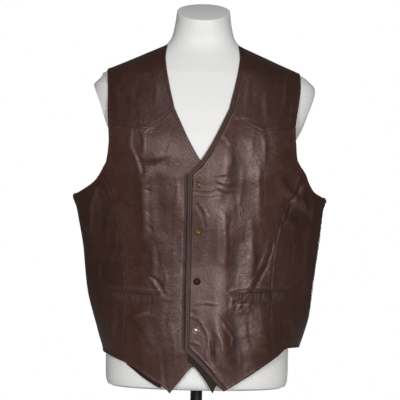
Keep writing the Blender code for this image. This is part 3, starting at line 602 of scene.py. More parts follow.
def worn(base, cutFolds, cutCreases):
    # how far the leather stands out from the smooth worn shape at these places
    x, height = base[..., 0], base[..., 2]
    at = section(vestCut, height)
    inner = np.clip((1 - np.abs(x) / halfWidth(x, at)) / cloth["flankEase"], 0, 1)
    wobble = cloth["wobble"] * noise(base, cloth["wobbleCell"], 3)
    relief = folded(x, height, cutFolds) * inner + creased(x, height, wobble, cutCreases) * inner
    calm = ease((height - cloth["calmFrom"]) / (cloth["calmTo"] - cloth["calmFrom"]))
    calm = 1 - cloth["calm"] * calm
    warp = np.stack([noise(base, cloth["warpCell"], seed) for seed in (11, 12, 13)], axis=-1)
    broad = noise(base * (1, 1, 0.6) + warp * 6, cloth["rumpleCell"], 5) * cloth["rumple"]
    broad = broad + noise(base * (1, 1, 0.5), cloth["swayCell"], 6) * cloth["sway"]
    ridges = 1 - np.abs(noise(base * (1, 1, 0.7) + warp * 7, cloth["crinkleCell"], 8))
    ridges = ridges**4 * cloth["crinkle"] * (0.55 + 0.45 * noise(base, 60.0, 9))
    for x1, z1, wide, high, cell, rise in inRows(crumples):
        away = ((x - x1) / wide) ** 2 + ((height - z1) / high) ** 2
        if np.any(away < 4):
            fine = 1 - np.abs(noise(base + warp * 3, cell, 15)) * 1.6
            relief = relief + rise * fine * np.exp(-(away**2)) * (base[..., 1] < 0)
    return relief + (broad + ridges - 0.1) * calm


def lapLift(x, height):
    across = ease((cloth["lapEnd"] - x) / (cloth["lapEnd"] - cloth["lapFull"]))
    return cloth["lapLift"] * across * ease((cloth["lapTop"] - height) / cloth["lapEase"])


# Each face takes flat places and gives points on the smooth shape, normals and the push outwards.
def rightFace(flat):
    base = facePoint(flat[..., 0], flat[..., 1])
    return base, outward(base), worn(base, folds, creases)


def leftFace(flat):
    base, normal, push = rightFace(flat)
    return base, normal, push + lapLift(flat[..., 0], flat[..., 1])


def sideFace(flat):
    base = roundPoint(flat[..., 0], flat[..., 1])
    ahead = ease(0.5 - base[..., 1] / 16)
    front = worn(base, folds, creases)
    behind = worn(base, backFolds, backCreases)
    return base, outward(base), front * ahead + behind * (1 - ahead)


def backFace(flat):
    at = section(vestCut, np.minimum(flat[..., 1], seamPlan["spreadTop"]))
    x = np.sin(flat[..., 0]) * halfWidth(flat[..., 0], at)
    base = facePoint(x, flat[..., 1], front=False)
    return base, outward(base), worn(base, backFolds, backCreases)


def onFace(face, flat, lift=0.0):
    base, normal, push = face(flat)
    return base + normal * (push + lift)[..., None]


# ---- materials

class Wiring:
    # short ways to add and join nodes in one material
    def __init__(self, material):
        self.nodes = material.node_tree.nodes
        self.links = material.node_tree.links
        self.place = self.nodes.new("ShaderNodeTexCoord").outputs["Object"]

    def stretched(self, scale, turn=(0, 0, 0)):
        node = self.nodes.new("ShaderNodeMapping")
        node.inputs["Scale"].default_value = scale
        node.inputs["Rotation"].default_value = turn
        self.links.new(self.place, node.inputs["Vector"])
        return node.outputs["Vector"]

    def noise(self, scale, detail=3.0, rough=0.55, distortion=0.0, vector=None):
        node = self.nodes.new("ShaderNodeTexNoise")
        node.inputs["Scale"].default_value = scale
        node.inputs["Detail"].default_value = detail
        node.inputs["Roughness"].default_value = rough
        node.inputs["Distortion"].default_value = distortion
        self.links.new(vector or self.place, node.inputs["Vector"])
        return node.outputs["Fac"]

    def cells(self, scale, feature="F1"):
        node = self.nodes.new("ShaderNodeTexVoronoi")
        node.feature = feature
        node.inputs["Scale"].default_value = scale
        self.links.new(self.place, node.inputs["Vector"])
        return node.outputs["Distance"]

    def ranged(self, value, low, high, toLow, toHigh):
        node = self.nodes.new("ShaderNodeMapRange")
        node.inputs["From Min"].default_value = low
        node.inputs["From Max"].default_value = high
        node.inputs["To Min"].default_value = toLow
        node.inputs["To Max"].default_value = toHigh
        self.links.new(value, node.inputs["Value"])
        return node.outputs["Result"]

    def mixed(self, share, first, second):
        node = self.nodes.new("ShaderNodeMix")
        node.data_type = "RGBA"
        for value, socket in ((share, node.inputs[0]), (first, node.inputs[6]), (second, node.inputs[7])):
            if isinstance(value, tuple):
                socket.default_value = (*value, 1)
            else:
                self.links.new(value, socket)
        return node.outputs[2]

    def sums(self, *terms):
        total = None
        for value, weight in terms:
            node = self.nodes.new("ShaderNodeMath")
            node.operation = "MULTIPLY_ADD"
            self.links.new(value, node.inputs[0])
            node.inputs[1].default_value = weight
            node.inputs[2].default_value = 0.0
            if total is not None:
                self.links.new(total, node.inputs[2])
            total = node.outputs[0]
        return total

    def attribute(self, name):
        node = self.nodes.new("ShaderNodeAttribute")
        node.attribute_name = name
        return node.outputs["Fac"]

    def bump(self, height, strength, distance):
        node = self.nodes.new("ShaderNodeBump")
        node.inputs["Strength"].default_value = strength
        node.inputs["Distance"].default_value = distance
        self.links.new(height, node.inputs["Height"])
        return node.outputs["Normal"]


leatherLook = {
    "grain": 620.0,  # pores to the metre
    "wrinkle": 150.0,
    "blotch": 11.0,
    "mottle": 70.0,
    "bumpHigh": 0.0016,
    "bumpStrength": 0.26,
    "shine": 0.44,
    "shineTint": (1.0, 0.8, 0.8, 1.0),
}


def makeLeather(name, deep, fair, crest, roughness):
    # deep and fair blend in blotches; where the vertex attribute is high the leather turns to the crest
    # colour, as wear on the crests of folds and as painted highlight on the band and welts, and where it is
    # low it darkens as painted shade
    material, shader = newMaterial(name, deep, roughness)
    wire = Wiring(material)
    blotch = wire.ranged(wire.noise(leatherLook["blotch"], 4.0, 0.6, 0.4), 0.36, 0.64, 0.0, 1.0)
    mottle = wire.ranged(wire.noise(leatherLook["mottle"], 5.0, 0.7), 0.3, 0.7, 0.0, 1.0)
    body = wire.mixed(wire.sums((blotch, 0.6), (mottle, 0.35)), deep, fair)
    wear = wire.attribute("wear")
    wearAndPaintedLight = wire.ranged(wire.sums((wear, 1.0), (mottle, 0.16)), 0.6, 1.05, 0.0, 0.75)
    body = wire.mixed(wearAndPaintedLight, body, crest)
    # painted shade: low attribute values darken the colour towards 0.35 of deep and roughen it, in troughs,
    # seams, grooves, pocket mouths and beside the lapped edge
    paintedShadeMask = wire.ranged(wear, 0.05, 0.42, 0.9, 0.0)
    body = wire.mixed(paintedShadeMask, body, tuple(0.35 * c for c in deep))
    wire.links.new(body, shader.inputs["Base Color"])
    gloss = wire.sums((mottle, 0.16), (blotch, 0.05), (wearAndPaintedLight, -0.06), (paintedShadeMask, 0.3))
    lifted = wire.ranged(gloss, -0.06, 0.42, roughness - 0.05, roughness + 0.30)
    wire.links.new(lifted, shader.inputs["Roughness"])
    warped = wire.noise(leatherLook["wrinkle"], 6.0, 0.62, 1.2, wire.stretched((1, 1, 0.75)))
    pores = wire.cells(leatherLook["grain"])
    cracks = wire.cells(leatherLook["grain"] * 0.28, "DISTANCE_TO_EDGE")
    flecks = wire.ranged(cracks, 0.0, 0.12, 0.0, 1.0)
    relief = wire.sums((warped, 1.0), (pores, 0.16), (flecks, 0.10), (mottle, 0.5))
    normal = wire.bump(relief, leatherLook["bumpStrength"], leatherLook["bumpHigh"])
    wire.links.new(normal, shader.inputs["Normal"])
    shader.inputs["Specular IOR Level"].default_value = leatherLook["shine"]
    shader.inputs["Specular Tint"].default_value = leatherLook["shineTint"]
    return material


def makeSatin():
    material, shader = newMaterial("darkSatin", (0.016, 0.012, 0.009), 0.6)
    wire = Wiring(material)
    weave = wire.noise(900.0, 2.0, 0.5, 0.0, wire.stretched((1, 1, 0.12), (0, 0.6, 0)))
    body = wire.mixed(wire.noise(40.0, 3.0), (0.010, 0.0075, 0.0055), (0.019, 0.0140, 0.0100))
    wire.links.new(body, shader.inputs["Base Color"])
    wire.links.new(wire.bump(weave, 0.4, 0.0004), shader.inputs["Normal"])
    shader.inputs["Specular IOR Level"].default_value = 0.16
    return material


def makeThread(name, deep, fair):
    material, shader = newMaterial(name, deep, 0.6)
    wire = Wiring(material)
    wire.links.new(wire.mixed(wire.noise(260.0, 2.0), deep, fair), shader.inputs["Base Color"])
    return material


def makeJersey():
    material, shader = newMaterial("whiteJersey", (0.75, 0.744, 0.73), 0.52)
    wire = Wiring(material)
    body = wire.mixed(wire.noise(14.0, 3.0), (0.735, 0.728, 0.714), (0.765, 0.76, 0.747))
    wire.links.new(body, shader.inputs["Base Color"])
    knit = wire.noise(1100.0, 2.0, 0.5, 0.0, wire.stretched((1, 1, 0.45)))
    wire.links.new(wire.bump(knit, 0.25, 0.0004), shader.inputs["Normal"])
    shader.inputs["Sheen Weight"].default_value = 0.15
    return material


def makeSteel():
    material, shader = newMaterial("blackSteel", (0.012, 0.012, 0.013), 0.36, 0.55)
    wire = Wiring(material)
    rub = wire.noise(55.0, 5.0, 0.65)
    body = wire.mixed(wire.ranged(rub, 0.52, 0.75, 0.0, 1.0), (0.010, 0.010, 0.011), (0.05, 0.05, 0.052))
    wire.links.new(body, shader.inputs["Base Color"])
    wire.links.new(wire.ranged(rub, 0.3, 0.7, 0.28, 0.46), shader.inputs["Roughness"])
    wire.links.new(wire.bump(wire.noise(700.0, 2.0), 0.12, 0.0003), shader.inputs["Normal"])
    return material


def makeMetal(name, bright, dull, worn, roughness):
    # worn is how much of the plating has turned dull, from 0 to 1
    material, shader = newMaterial(name, bright, roughness, 1.0)
    wire = Wiring(material)
    patches = wire.ranged(wire.noise(330.0, 5.0, 0.65, 0.3), 0.72 - 0.5 * worn, 0.86 - 0.5 * worn, 0.0, 1.0)
    wire.links.new(wire.mixed(patches, dull, bright), shader.inputs["Base Color"])
    wire.links.new(wire.ranged(patches, 0.0, 1.0, roughness + 0.2, roughness), shader.inputs["Roughness"])
    wire.links.new(wire.bump(wire.noise(900.0, 3.0), 0.3, 0.0002), shader.inputs["Normal"])
    return material


frontLeather = makeLeather(
    "frontLeather", (0.034, 0.0125, 0.0086), (0.054, 0.0215, 0.0150), (0.088, 0.044, 0.034), 0.275,
)
# a darker copy of the front leather for the yokes, sides and back: painted shade for the parts turned away
# from the lamps
sideLeather = makeLeather(
    "sideLeather", (0.030, 0.0115, 0.0080), (0.044, 0.0180, 0.0128), (0.072, 0.038, 0.029), 0.30,
)
trimLeather = makeLeather(
    "trimLeather", (0.026, 0.0096, 0.0067), (0.041, 0.0160, 0.0114), (0.075, 0.038, 0.030), 0.44,
)
satin = makeSatin()
brownThread = makeThread("brownThread", (0.035, 0.018, 0.013), (0.085, 0.052, 0.038))
paleThread = makeThread("paleThread", (0.10, 0.065, 0.05), (0.34, 0.26, 0.21))
jersey = makeJersey()
steel = makeSteel()
print("materials ready")


# ---- meshes

def placed(points):
    points = np.array(points, float) * mm
    points[..., 2] += formRise * mm
    return points


def addMesh(name, points, faces, material, sharp=48, wear=None):
    mesh = bpy.data.meshes.new(name)
    mesh.from_pydata(placed(points).reshape(-1, 3).tolist(), [], faces)
    mesh.validate()
    mesh.shade_smooth()
    mesh.set_sharp_from_angle(angle=math.radians(sharp))
    if wear is not None:
        layer = mesh.attributes.new("wear", "FLOAT", "POINT")
        layer.data.foreach_set("value", np.asarray(wear, np.float32).ravel())
    mesh.materials.append(material)
    return addObject(name, mesh)


def gridFaces(rows, cols, first=0, turned=False):
    a = (np.arange(rows - 1)[:, None] * cols + np.arange(cols - 1)[None]).ravel() + first
    quads = np.stack([a, a + 1, a + cols + 1, a + cols], axis=-1)
    return (quads[:, ::-1] if turned else quads).tolist()


def rimOf(rows, cols):
    # the outline of a grid, once round
    low = list(range(cols))
    right = [i * cols + cols - 1 for i in range(1, rows)]
    high = [(rows - 1) * cols + j for j in range(cols - 2, -1, -1)]
    left = [i * cols for i in range(rows - 2, 0, -1)]
    return low + right + high + left


def closedWall(outer, inner):
    # points and faces of a wall between two grids of the same size, outer face outwards
    rows, cols = outer.shape[:2]
    count = rows * cols
    points = np.concatenate([outer.reshape(-1, 3), inner.reshape(-1, 3)])
    rim = rimOf(rows, cols)
    faces = gridFaces(rows, cols) + gridFaces(rows, cols, count, turned=True)
    for a, b in zip(rim, rim[1:] + rim[:1]):
        faces.append((b, a, a + count, b + count))
    return points, faces


def facesOut(outer, normal):
    # whether the grid's own winding points along the normals
    across = outer[:-1, 1:] - outer[:-1, :-1]
    upward = outer[1:, :-1] - outer[:-1, :-1]
    return np.mean(np.sum(np.cross(across, upward) * normal[:-1, :-1], axis=-1)) > 0


def addWall(name, outer, inner, normal, material, wear=None):
    # the outer face's values of wear, painted shade and painted highlight are given, and the inner face has
    # one darker level of its own
    innerLevel = 0.3
    if not facesOut(outer, normal):
        outer, inner = outer[:, ::-1], inner[:, ::-1]
        wear = None if wear is None else wear[:, ::-1]
    points, faces = closedWall(outer, inner)
    if wear is not None:
        wear = np.concatenate([wear.ravel(), np.full(wear.size, innerLevel)])
    return addMesh(name, points, faces, material, wear=wear)


def dress(piece, nodes):
    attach(piece, "root")
    if nodes:
        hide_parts(*nodes)


# ---- panels

edges = {
    "turnedRise": 0.45,  # the folded edge stands higher
    "turnedFlat": 6.5,
    "turnedWide": 8.5,
    "stitchIn": 6.0,
    "stitchDeep": 0.5,
    "stitchWide": 1.1,
    "rimDrop": 0.75,
    "rimWide": 1.0,
    "seamDeep": 0.32,
    "seamWide": 0.9,
    "crownIn": 4.0,
    "crownRise": 0.1,
    "crownWide": 2.6,
    "bandIn": 9.5,
    "bandDeep": 0.8,
    "bandReach": 1.1,
    "besideRise": 0.4,  # the front swells beside the band
    "besideIn": 12.5,
    "besideWide": 1.8,
    "softShare": 0.25,  # the band lies flatter on the yoke
    "pucker": 0.34,
    "puckerCell": 8.0,
    "puckerReach": 9.0,
    # wear and painted shade as amount, distance from the edge and reach: amounts over 0 are wear on crowns
    # and rolled edges, amounts under 0 are painted shade in seams, grooves and at edges
    "sewnWearAndShade": ((0.03, 4.0, 1.4), (-0.34, 0.0, 0.9)),
    "bandedWearAndShade": ((0.16, 12.3, 1.3), (-0.4, 9.5, 1.1)),
    "turnedWearAndShade": ((0.19, 1.8, 1.3), (-0.24, 0.0, 0.8), (-0.16, 6.0, 1.0)),
    "wearShadeReach": 5,  # how high a spot stands over its surroundings makes it worn and lighter, and how low it lies makes it darker as painted shade
    "wearShadeRise": 2.4,
    "wearShadeMost": 0.4,
    "shadeDeep": 0.75,  # painted shadow beside the lapped edge
    "shadeWide": 3.1,
    "lineSteps": 260,
    # distances of the first rows of points from a finished edge, then the step
    "firstSteps": (0.0, 0.45, 1.0, 1.7, 2.6, 3.6, 4.8, 5.7, 6.6, 7.8, 9.4),
    "step": 2.7,
}


def stretch(points, cells, kind, turn=None, crowdEnd=1.0, crowdStart=1.0):
    # one stretch of a border, with its share of cells and how its edge is finished
    def at(share):
        share = 1 - (1 - np.asarray(share, float)) ** crowdEnd
        share = share**crowdStart
        flat = along(points, share)
        return turn(flat) if turn else flat

    return {"at": at, "cells": cells, "kind": kind}


def ridgeStretch(line, cells, backwards=False):
    def at(share):
        share = np.asarray(share, float)
        flat = along(line, 1 - share if backwards else share)
        wide = halfWidth(flat[:, 0], section(vestCut, flat[:, 1]))
        return np.stack([np.sign(flat[:, 0]) * wide, flat[:, 1]], axis=-1)

    return {"at": at, "cells": cells, "kind": "sewn"}


def follow(border, shares):
    cells = np.array([part["cells"] for part in border], float)
    ends = np.concatenate([[0], np.cumsum(cells)]) / cells.sum()
    which = np.clip(np.searchsorted(ends, shares, side="right") - 1, 0, len(border) - 1)
    local = (shares - ends[which]) / (ends[which + 1] - ends[which])
    found = np.empty((len(shares), 2))
    for k, part in enumerate(border):
        if np.any(which == k):
            found[which == k] = part["at"](np.clip(local[which == k], 0, 1))
    return found


def stepped(length, bothEnds=(True, True)):
    # shares of a length, close together near the finished edges
    near = np.array(edges["firstSteps"])
    low = near if bothEnds[0] else near[:1]
    high = near if bothEnds[1] else near[:1]
    count = int((length - low[-1] - high[-1]) / edges["step"])
    middle = np.linspace(low[-1], length - high[-1], count + 1)[1:-1]
    return np.concatenate([low, middle, (length - high)[::-1]]) / length


def patch(left, right, low, high):
    def shares(one, other):
        return sum(walked(curve) / walked(curve)[-1] for curve in (one, other)) / 2

    u = shares(low, high)[None, :, None]
    v = shares(left, right)[:, None, None]
    corners = (1 - u) * (1 - v) * low[0] + u * (1 - v) * low[-1] + (1 - u) * v * high[0] + u * v * high[-1]
    return (1 - v) * low[None] + v * high[None] + (1 - u) * left[:, None] + u * right[:, None] - corners


def distanceFrom(points, line):
    tree = kdtree.KDTree(len(line))
    for k, spot in enumerate(line):
        tree.insert(spot, k)
    tree.balance()
    flat = points.reshape(-1, 3)
    return np.array([tree.find(spot)[2] for spot in flat]).reshape(points.shape[:-1])


def edgeRelief(kind, away, base):
    # height of the leather near an edge, how worn it is there and how much painted shade it takes
    def hill(centre, wide):
        return np.exp(-(((away - centre) / wide) ** 2))

    def wearAndPaintedLight(rows):
        return sum(amount * hill(centre, wide) for amount, centre, wide in rows)

    pucker = edges["pucker"] * noise(base, edges["puckerCell"], 21) * hill(0, edges["puckerReach"])
    if kind == "sewn":
        relief = edges["crownRise"] * hill(edges["crownIn"], edges["crownWide"])
        relief = relief - edges["seamDeep"] * hill(0, edges["seamWide"]) + pucker
        return relief, wearAndPaintedLight(edges["sewnWearAndShade"])
    if kind in ("banded", "softBanded"):
        full = 1.0 if kind == "banded" else edges["softShare"]
        relief = edges["besideRise"] * hill(edges["besideIn"], edges["besideWide"])
        relief = full * (relief - edges["bandDeep"] * hill(edges["bandIn"], edges["bandReach"]))
        return relief + 0.5 * pucker, full * wearAndPaintedLight(edges["bandedWearAndShade"])
    slope = ease((away - edges["turnedFlat"]) / (edges["turnedWide"] - edges["turnedFlat"]))
    relief = edges["turnedRise"] * (1 - slope)
    relief = relief - edges["stitchDeep"] * hill(edges["stitchIn"], edges["stitchWide"]) + pucker
    relief = relief - edges["rimDrop"] * (1 - ease(away / edges["rimWide"]))
    return relief, wearAndPaintedLight(edges["turnedWearAndShade"])


def blurred(values, reach):
    # the mean over a square of points that reaches so many points each way
    span = 2 * reach + 1
    for axis in (0, 1):
        size = values.shape[axis]
        first = np.repeat(values.take([0], axis), reach, axis)
        last = np.repeat(values.take([-1], axis), reach, axis)
        total = np.cumsum(np.concatenate([first, values, last], axis), axis)
        total = np.concatenate([np.zeros_like(total.take([0], axis)), total], axis)
        values = (total.take(range(span, span + size), axis) - total.take(range(size), axis)) / span
    return values


def fromRidge(flat, wide):
    # heights counted down from the ridge, or back again; wide turns a spread angle into a distance
    x = np.sin(flat[..., 0]) * wide if wide else flat[..., 0]
    x = np.minimum(np.abs(x), seamPlan["tip"])
    return np.stack([flat[..., 0], ridgeAt(x) - flat[..., 1]], axis=-1)


def makePanel(name, face, borders, lengths, ends, material, ridge=None, shade=None):
    # borders go left, right, low, high; lengths and ends set how the rows and columns are shared out,
    # and a third length is the width of one unit of x
    left, right, low, high = borders
    rows = stepped(lengths[0], ends[0])
    cols = stepped(lengths[1], ends[1])
    scale = np.array([lengths[2], 1.0])
    lines = [follow(left, rows), follow(right, rows), follow(low, cols), follow(high, cols)]
    if ridge is not None:
        lines = [fromRidge(line, ridge) for line in lines]
    flat = patch(*(line * scale for line in lines)) / scale
    if ridge is not None:
        flat = fromRidge(flat, ridge)
    base, normal, push = face(flat)
    shape = base + normal * push[..., None]
    relief = np.zeros(push.shape)
    # raised spots are rubbed lighter as wear, and spots lower than their surroundings are darkened as painted
    # shade in creases and troughs
    wear = (push - blurred(push, edges["wearShadeReach"])) / edges["wearShadeRise"]
    wear = np.clip(wear, -edges["wearShadeMost"], edges["wearShadeMost"])
    for part in (part for border in borders for part in border):
        line = onFace(face, part["at"](np.linspace(0, 1, edges["lineSteps"])))
        more, wearAndPaintedLight = edgeRelief(part["kind"], distanceFrom(shape, line), base)
        relief += more
        wear += wearAndPaintedLight
    # painted shadow of the lapped left front, a dark strip on the right front beside its edge
    if shade is not None:
        away = distanceFrom(shape, onFace(face, shade))
        wear -= edges["shadeDeep"] * np.exp(-((away / edges["shadeWide"]) ** 2))
    outer = base + normal * (push + relief)[..., None]
    inner = base + normal * (push + 0.3 * relief - cloth["wall"])[..., None]
    print(name, outer.shape[:2], "points")
    return addWall(name, outer, inner, normal, material, 0.5 + wear)


def seamParts(yokeSeam):
    # the yoke seam turns at its third place
    return [stretch(yokeSeam[:3], 5, "sewn"), stretch(yokeSeam[2:], 6, "sewn")]


def frontBorders(edge, neck, longSeam, arm, hemInner, hemOuter, yokeSeam, edgeKind):
    left = [stretch(edge, 17, edgeKind), stretch(neck, 6, edgeKind)]
    right = [stretch(longSeam, 17, "sewn"), stretch(arm, 6, "turned")]
    low = [stretch(hemInner, 5, edgeKind), stretch(hemOuter, 6, "turned")]
    return left, right, low, seamParts(yokeSeam)


def yokeBorders(neck, arm, yokeSeam, shoulder, edgeKind):
    crowd = seamPlan["ridgeCrowd"]
    ridge = ridgeStretch(shoulder, 11)
    arm = arm[:-1] + [tuple(ridge["at"]([1.0])[0])]
    left = [stretch(neck, 1, edgeKind, crowdEnd=crowd)]
    right = [stretch(arm, 1, "turned", crowdEnd=crowd)]
    return left, right, seamParts(yokeSeam), [ridge]


def sideBorders(longSeam, arm, hem, side, hemEnd):
    corner = side * math.radians(seamPlan["sideAngle"])

    def turn(flat):
        return np.stack([frontAngle(flat[:, 0], flat[:, 1]), flat[:, 1]], axis=-1)

    armEnd = tuple(turn(np.array(arm[-1:], float))[0])
    hemStart = tuple(turn(np.array(hem[-1:], float))[0])
    left = [stretch(longSeam, 1, "sewn", turn)]
    right = [stretch([(corner, hemEnd), (corner, seamPlan["armLowest"])], 1, "sewn")]
    low = [stretch(hem, 5, "turned", turn), stretch([hemStart, (corner, hemEnd)], 2, "turned")]
    high = [stretch(arm, 4, "turned", turn), stretch([armEnd, (corner, seamPlan["armLowest"])], 3, "turned")]
    return left, right, low, high


def spread(flat):
    at = section(vestCut, np.minimum(flat[:, 1], seamPlan["spreadTop"]))
    return np.stack([np.arcsin(np.clip(flat[:, 0] / halfWidth(flat[:, 0], at), -1, 1)), flat[:, 1]], axis=-1)


def backBorders():
    def sideCurve(side, hemEnd, shoulder):
        angle = side * math.radians(seamPlan["sideAngle"])
        armLowest = seamPlan["armLowest"]

        def seamAt(share):
            heights = hemEnd + (armLowest - hemEnd) * np.asarray(share, float)
            seam = roundPoint(np.full(heights.shape, angle), heights)
            return spread(np.stack([seam[:, 0], seam[:, 2]], axis=-1))

        corner = roundPoint(np.array([angle]), np.array([armLowest]))
        tip = ridgeStretch(shoulder, 1)["at"]([1.0])[0]
        lower = [(corner[0, 0], corner[0, 2])] + [(side * x, z) for x, z in armBackLow]
        upper = [(side * x, z) for x, z in armBackHigh] + [tuple(tip)]
        return [
            {"at": seamAt, "cells": 17, "kind": "sewn"},
            stretch(lower, 7, "turned", spread),
            stretch(upper, 7, "turned", spread, crowdEnd=seamPlan["ridgeCrowd"]),
        ]

    left = sideCurve(-1, seamPlan["hemRight"], shoulderRight)
    right = sideCurve(1, seamPlan["hemLeft"], shoulderLeft)
    start, end = left[0]["at"]([0.0])[0, 0], right[0]["at"]([0.0])[0, 0]

    def hemAt(share):
        share = np.asarray(share, float)
        dip = np.interp(share, [0, 0.5, 1], [seamPlan["hemRight"], seamPlan["hemBack"], seamPlan["hemLeft"]])
        return np.stack([start + (end - start) * share, dip], axis=-1)

    def ridge(line, backwards):
        plain = ridgeStretch(line, 11, backwards)

        def at(share):
            return spread(plain["at"](share))

        return {**plain, "at": at}

    mirrored = [(-x, z) for x, z in backNeck]
    high = [
        ridge(shoulderRight, True),
        stretch(mirrored, 6, "turned", spread, crowdStart=seamPlan["neckCrowd"]),
        stretch(backNeck[::-1], 6, "turned", spread, crowdEnd=seamPlan["neckCrowd"]),
        ridge(shoulderLeft, False),
    ]
    return left, right, [{"at": hemAt, "cells": 1, "kind": "turned"}], high


outlines = {
    "frontRight": frontBorders(
        frontEdgeRight, neckRight, longSeamRight, armChestRight,
        hemRightInner, hemRightOuter, yokeSeamRight, "turned",
    ),
    "frontLeft": frontBorders(
        frontEdgeLeft, neckLeft, longSeamLeft, armChestLeft,
        hemLeftInner, hemLeftOuter, yokeSeamLeft, "banded",
    ),
    "yokeRight": yokeBorders(
        [(-x, z) for x, z in yokeNeckLeft], armUpperRight, yokeSeamRight, shoulderRight, "turned",
    ),
    "yokeLeft": yokeBorders(yokeNeckLeft, armUpperLeft, yokeSeamLeft, shoulderLeft, "softBanded"),
    "sideRight": sideBorders(longSeamRight, armLowerRight, hemRightSide, -1, seamPlan["hemRight"]),
    "sideLeft": sideBorders(longSeamLeft, armLowerLeft, hemLeftSide, 1, seamPlan["hemLeft"]),
    "back": backBorders(),
}
closeBoth = (True, True)
frontRight = makePanel(
    "front_right_leather", rightFace, outlines["frontRight"],
    (560, 172, 1.0), (closeBoth, closeBoth), frontLeather,
    shade=along([(-28.6, 88), (-28.4, 440)], np.linspace(0, 1, 200)),
)
frontLeft = makePanel(
    "front_left_leather", leftFace, outlines["frontLeft"],
    (560, 176, 1.0), (closeBoth, closeBoth), frontLeather,
)
yokeRight = makePanel(
    "yoke_right_leather", rightFace, outlines["yokeRight"],
    (190, 148, 1.0), ((True, False), closeBoth), sideLeather, ridge=0,
)
yokeLeft = makePanel(
    "yoke_left_leather", leftFace, outlines["yokeLeft"],
    (190, 148, 1.0), ((True, False), closeBoth), sideLeather, ridge=0,
)
sideRight = makePanel(
    "side_right_leather", sideFace, outlines["sideRight"],
    (370, 150, 150.0), (closeBoth, closeBoth), sideLeather,
)
sideLeft = makePanel(
    "side_left_leather", sideFace, outlines["sideLeft"],
    (370, 150, 150.0), (closeBoth, closeBoth), sideLeather,
)
back = makePanel(
    "back_leather", backFace, outlines["back"],
    (560, 560, 170.0), ((True, False), closeBoth), sideLeather, ridge=252.5,
)


# ---- what is sewn on the fronts

band = {
    "wide": 9.5,
    "cornerClear": 4.6,
    "spacing": 2.6,
    # across the band, from its folded edge inwards, and how high it stands over the front
    "across": (0.0, 0.03, 0.09, 0.18, 0.30, 0.40, 0.47, 0.54, 0.64, 0.76, 0.88, 0.96, 1.0),
    "high": (-0.2, 0.85, 1.40, 1.50, 1.25, 0.95, 0.70, 0.95, 1.35, 1.45, 1.10, 0.50, -0.1),
    # painted light across the band: lighter on its two crowns as painted highlight, darker at its edges and
    # in its middle groove as painted shade
    "shade": (0.22, 0.60, 0.82, 0.60, 0.42, 0.30, 0.18, 0.34, 0.62, 0.66, 0.40, 0.20, 0.15),
    "low": -0.3,
    "calmFrom": 555.0,  # low and even along the yoke
    "calmTo": 600.0,
    "calm": 0.55,
    "calmHigh": 0.2,
    "calmShade": 0.46,
    "rough": 0.12,
    "roughCell": 7.0,
    "roughOver": 0.6,  # only what stands higher is uneven
}


def inwardOf(line, turn):
    # square to a line in the front view, mitred where it turns; turn is 1 or -1
    step = unit(np.diff(line, axis=0))
    square = np.stack([step[:, 1], -step[:, 0]], axis=-1) * turn
    first = np.concatenate([square[:1], square])
    second = np.concatenate([square, square[-1:]])
    middle = first + second
    return middle / np.maximum(np.sum(middle * first, axis=1, keepdims=True), 0.3)


def spaced(points, spacing):
    length = walked(along(points, np.linspace(0, 1, 60)))[-1]
    return along(points, np.linspace(0, 1, max(2, int(length / spacing)) + 1))


def leftEdgeLine(spacing, cornerClear):
    # up the hem's diagonal from its point, up the front edge and the neck to the shoulder
    hem = spaced(hemLeftInner[::-1], spacing)
    edge = spaced(frontEdgeLeft, spacing)
    corner = edge[0]
    hem = hem[np.linalg.norm(hem - corner, axis=1) > cornerClear]
    edge = edge[np.linalg.norm(edge - corner, axis=1) > cornerClear]
    neck = np.concatenate([spaced(neckLeft, spacing)[1:], spaced(yokeNeckLeft, spacing)[1:]])
    return np.concatenate([hem, [corner], edge, neck])


def makeBand():
    line = leftEdgeLine(band["spacing"], band["cornerClear"])
    square = inwardOf(line, 1)
    across = np.array(band["across"])
    flat = line[:, None] + square[:, None] * (across * band["wide"])[None, :, None]
    base, normal, push = leftFace(flat)
    rough = band["rough"] * noise(base, band["roughCell"], 31)
    high = np.array(band["high"])
    shade = np.array(band["shade"])
    calm = ease((flat[..., 1] - band["calmFrom"]) / (band["calmTo"] - band["calmFrom"])) * band["calm"]
    lift = (high + rough * (high > band["roughOver"])) * (1 - calm)
    outer = base + normal * (push + lift + band["calmHigh"] * calm)[..., None]
    inner = base + normal * (push + band["low"])[..., None]
    # painted highlight on the crowns and painted shade in the grooves, evened out along the yoke
    wear = shade + (band["calmShade"] - shade) * calm / band["calm"]
    return addWall("edge_band_leather", outer, inner, normal, trimLeather, wear)


welts = {
    "right": ([(-184, 179), (-129, 174), (-73, 171)], [(-184, 203), (-129, 199), (-73, 196)]),
    "left": ([(70, 181), (128, 181), (187, 183)], [(70, 204), (128, 206), (187, 208)]),
    "columns": 130,
    # up the welt, and how high it stands over the front there
    "upward": (
        0.0, 0.03, 0.08, 0.14, 0.19, 0.26, 0.36, 0.48, 0.60, 0.70, 0.80, 0.87, 0.905, 0.93, 0.945, 0.985, 1.0,
    ),
    "high": (-0.3, 0.15, 0.45, 0.2, 0.45, 0.7, 0.9, 1.1, 1.3, 1.4, 1.45, 1.6, 1.55, 1.2, 0.12, 0.12, -0.2),
    "low": -0.35,
    "endHigh": -0.3,
    "mouth": 0.935,
    "mouthShade": 0.62,
    "gatherShine": 0.34,
    "gather": 1.15,
    "endFade": 0.07,
    "gatherCell": 5.5,
}


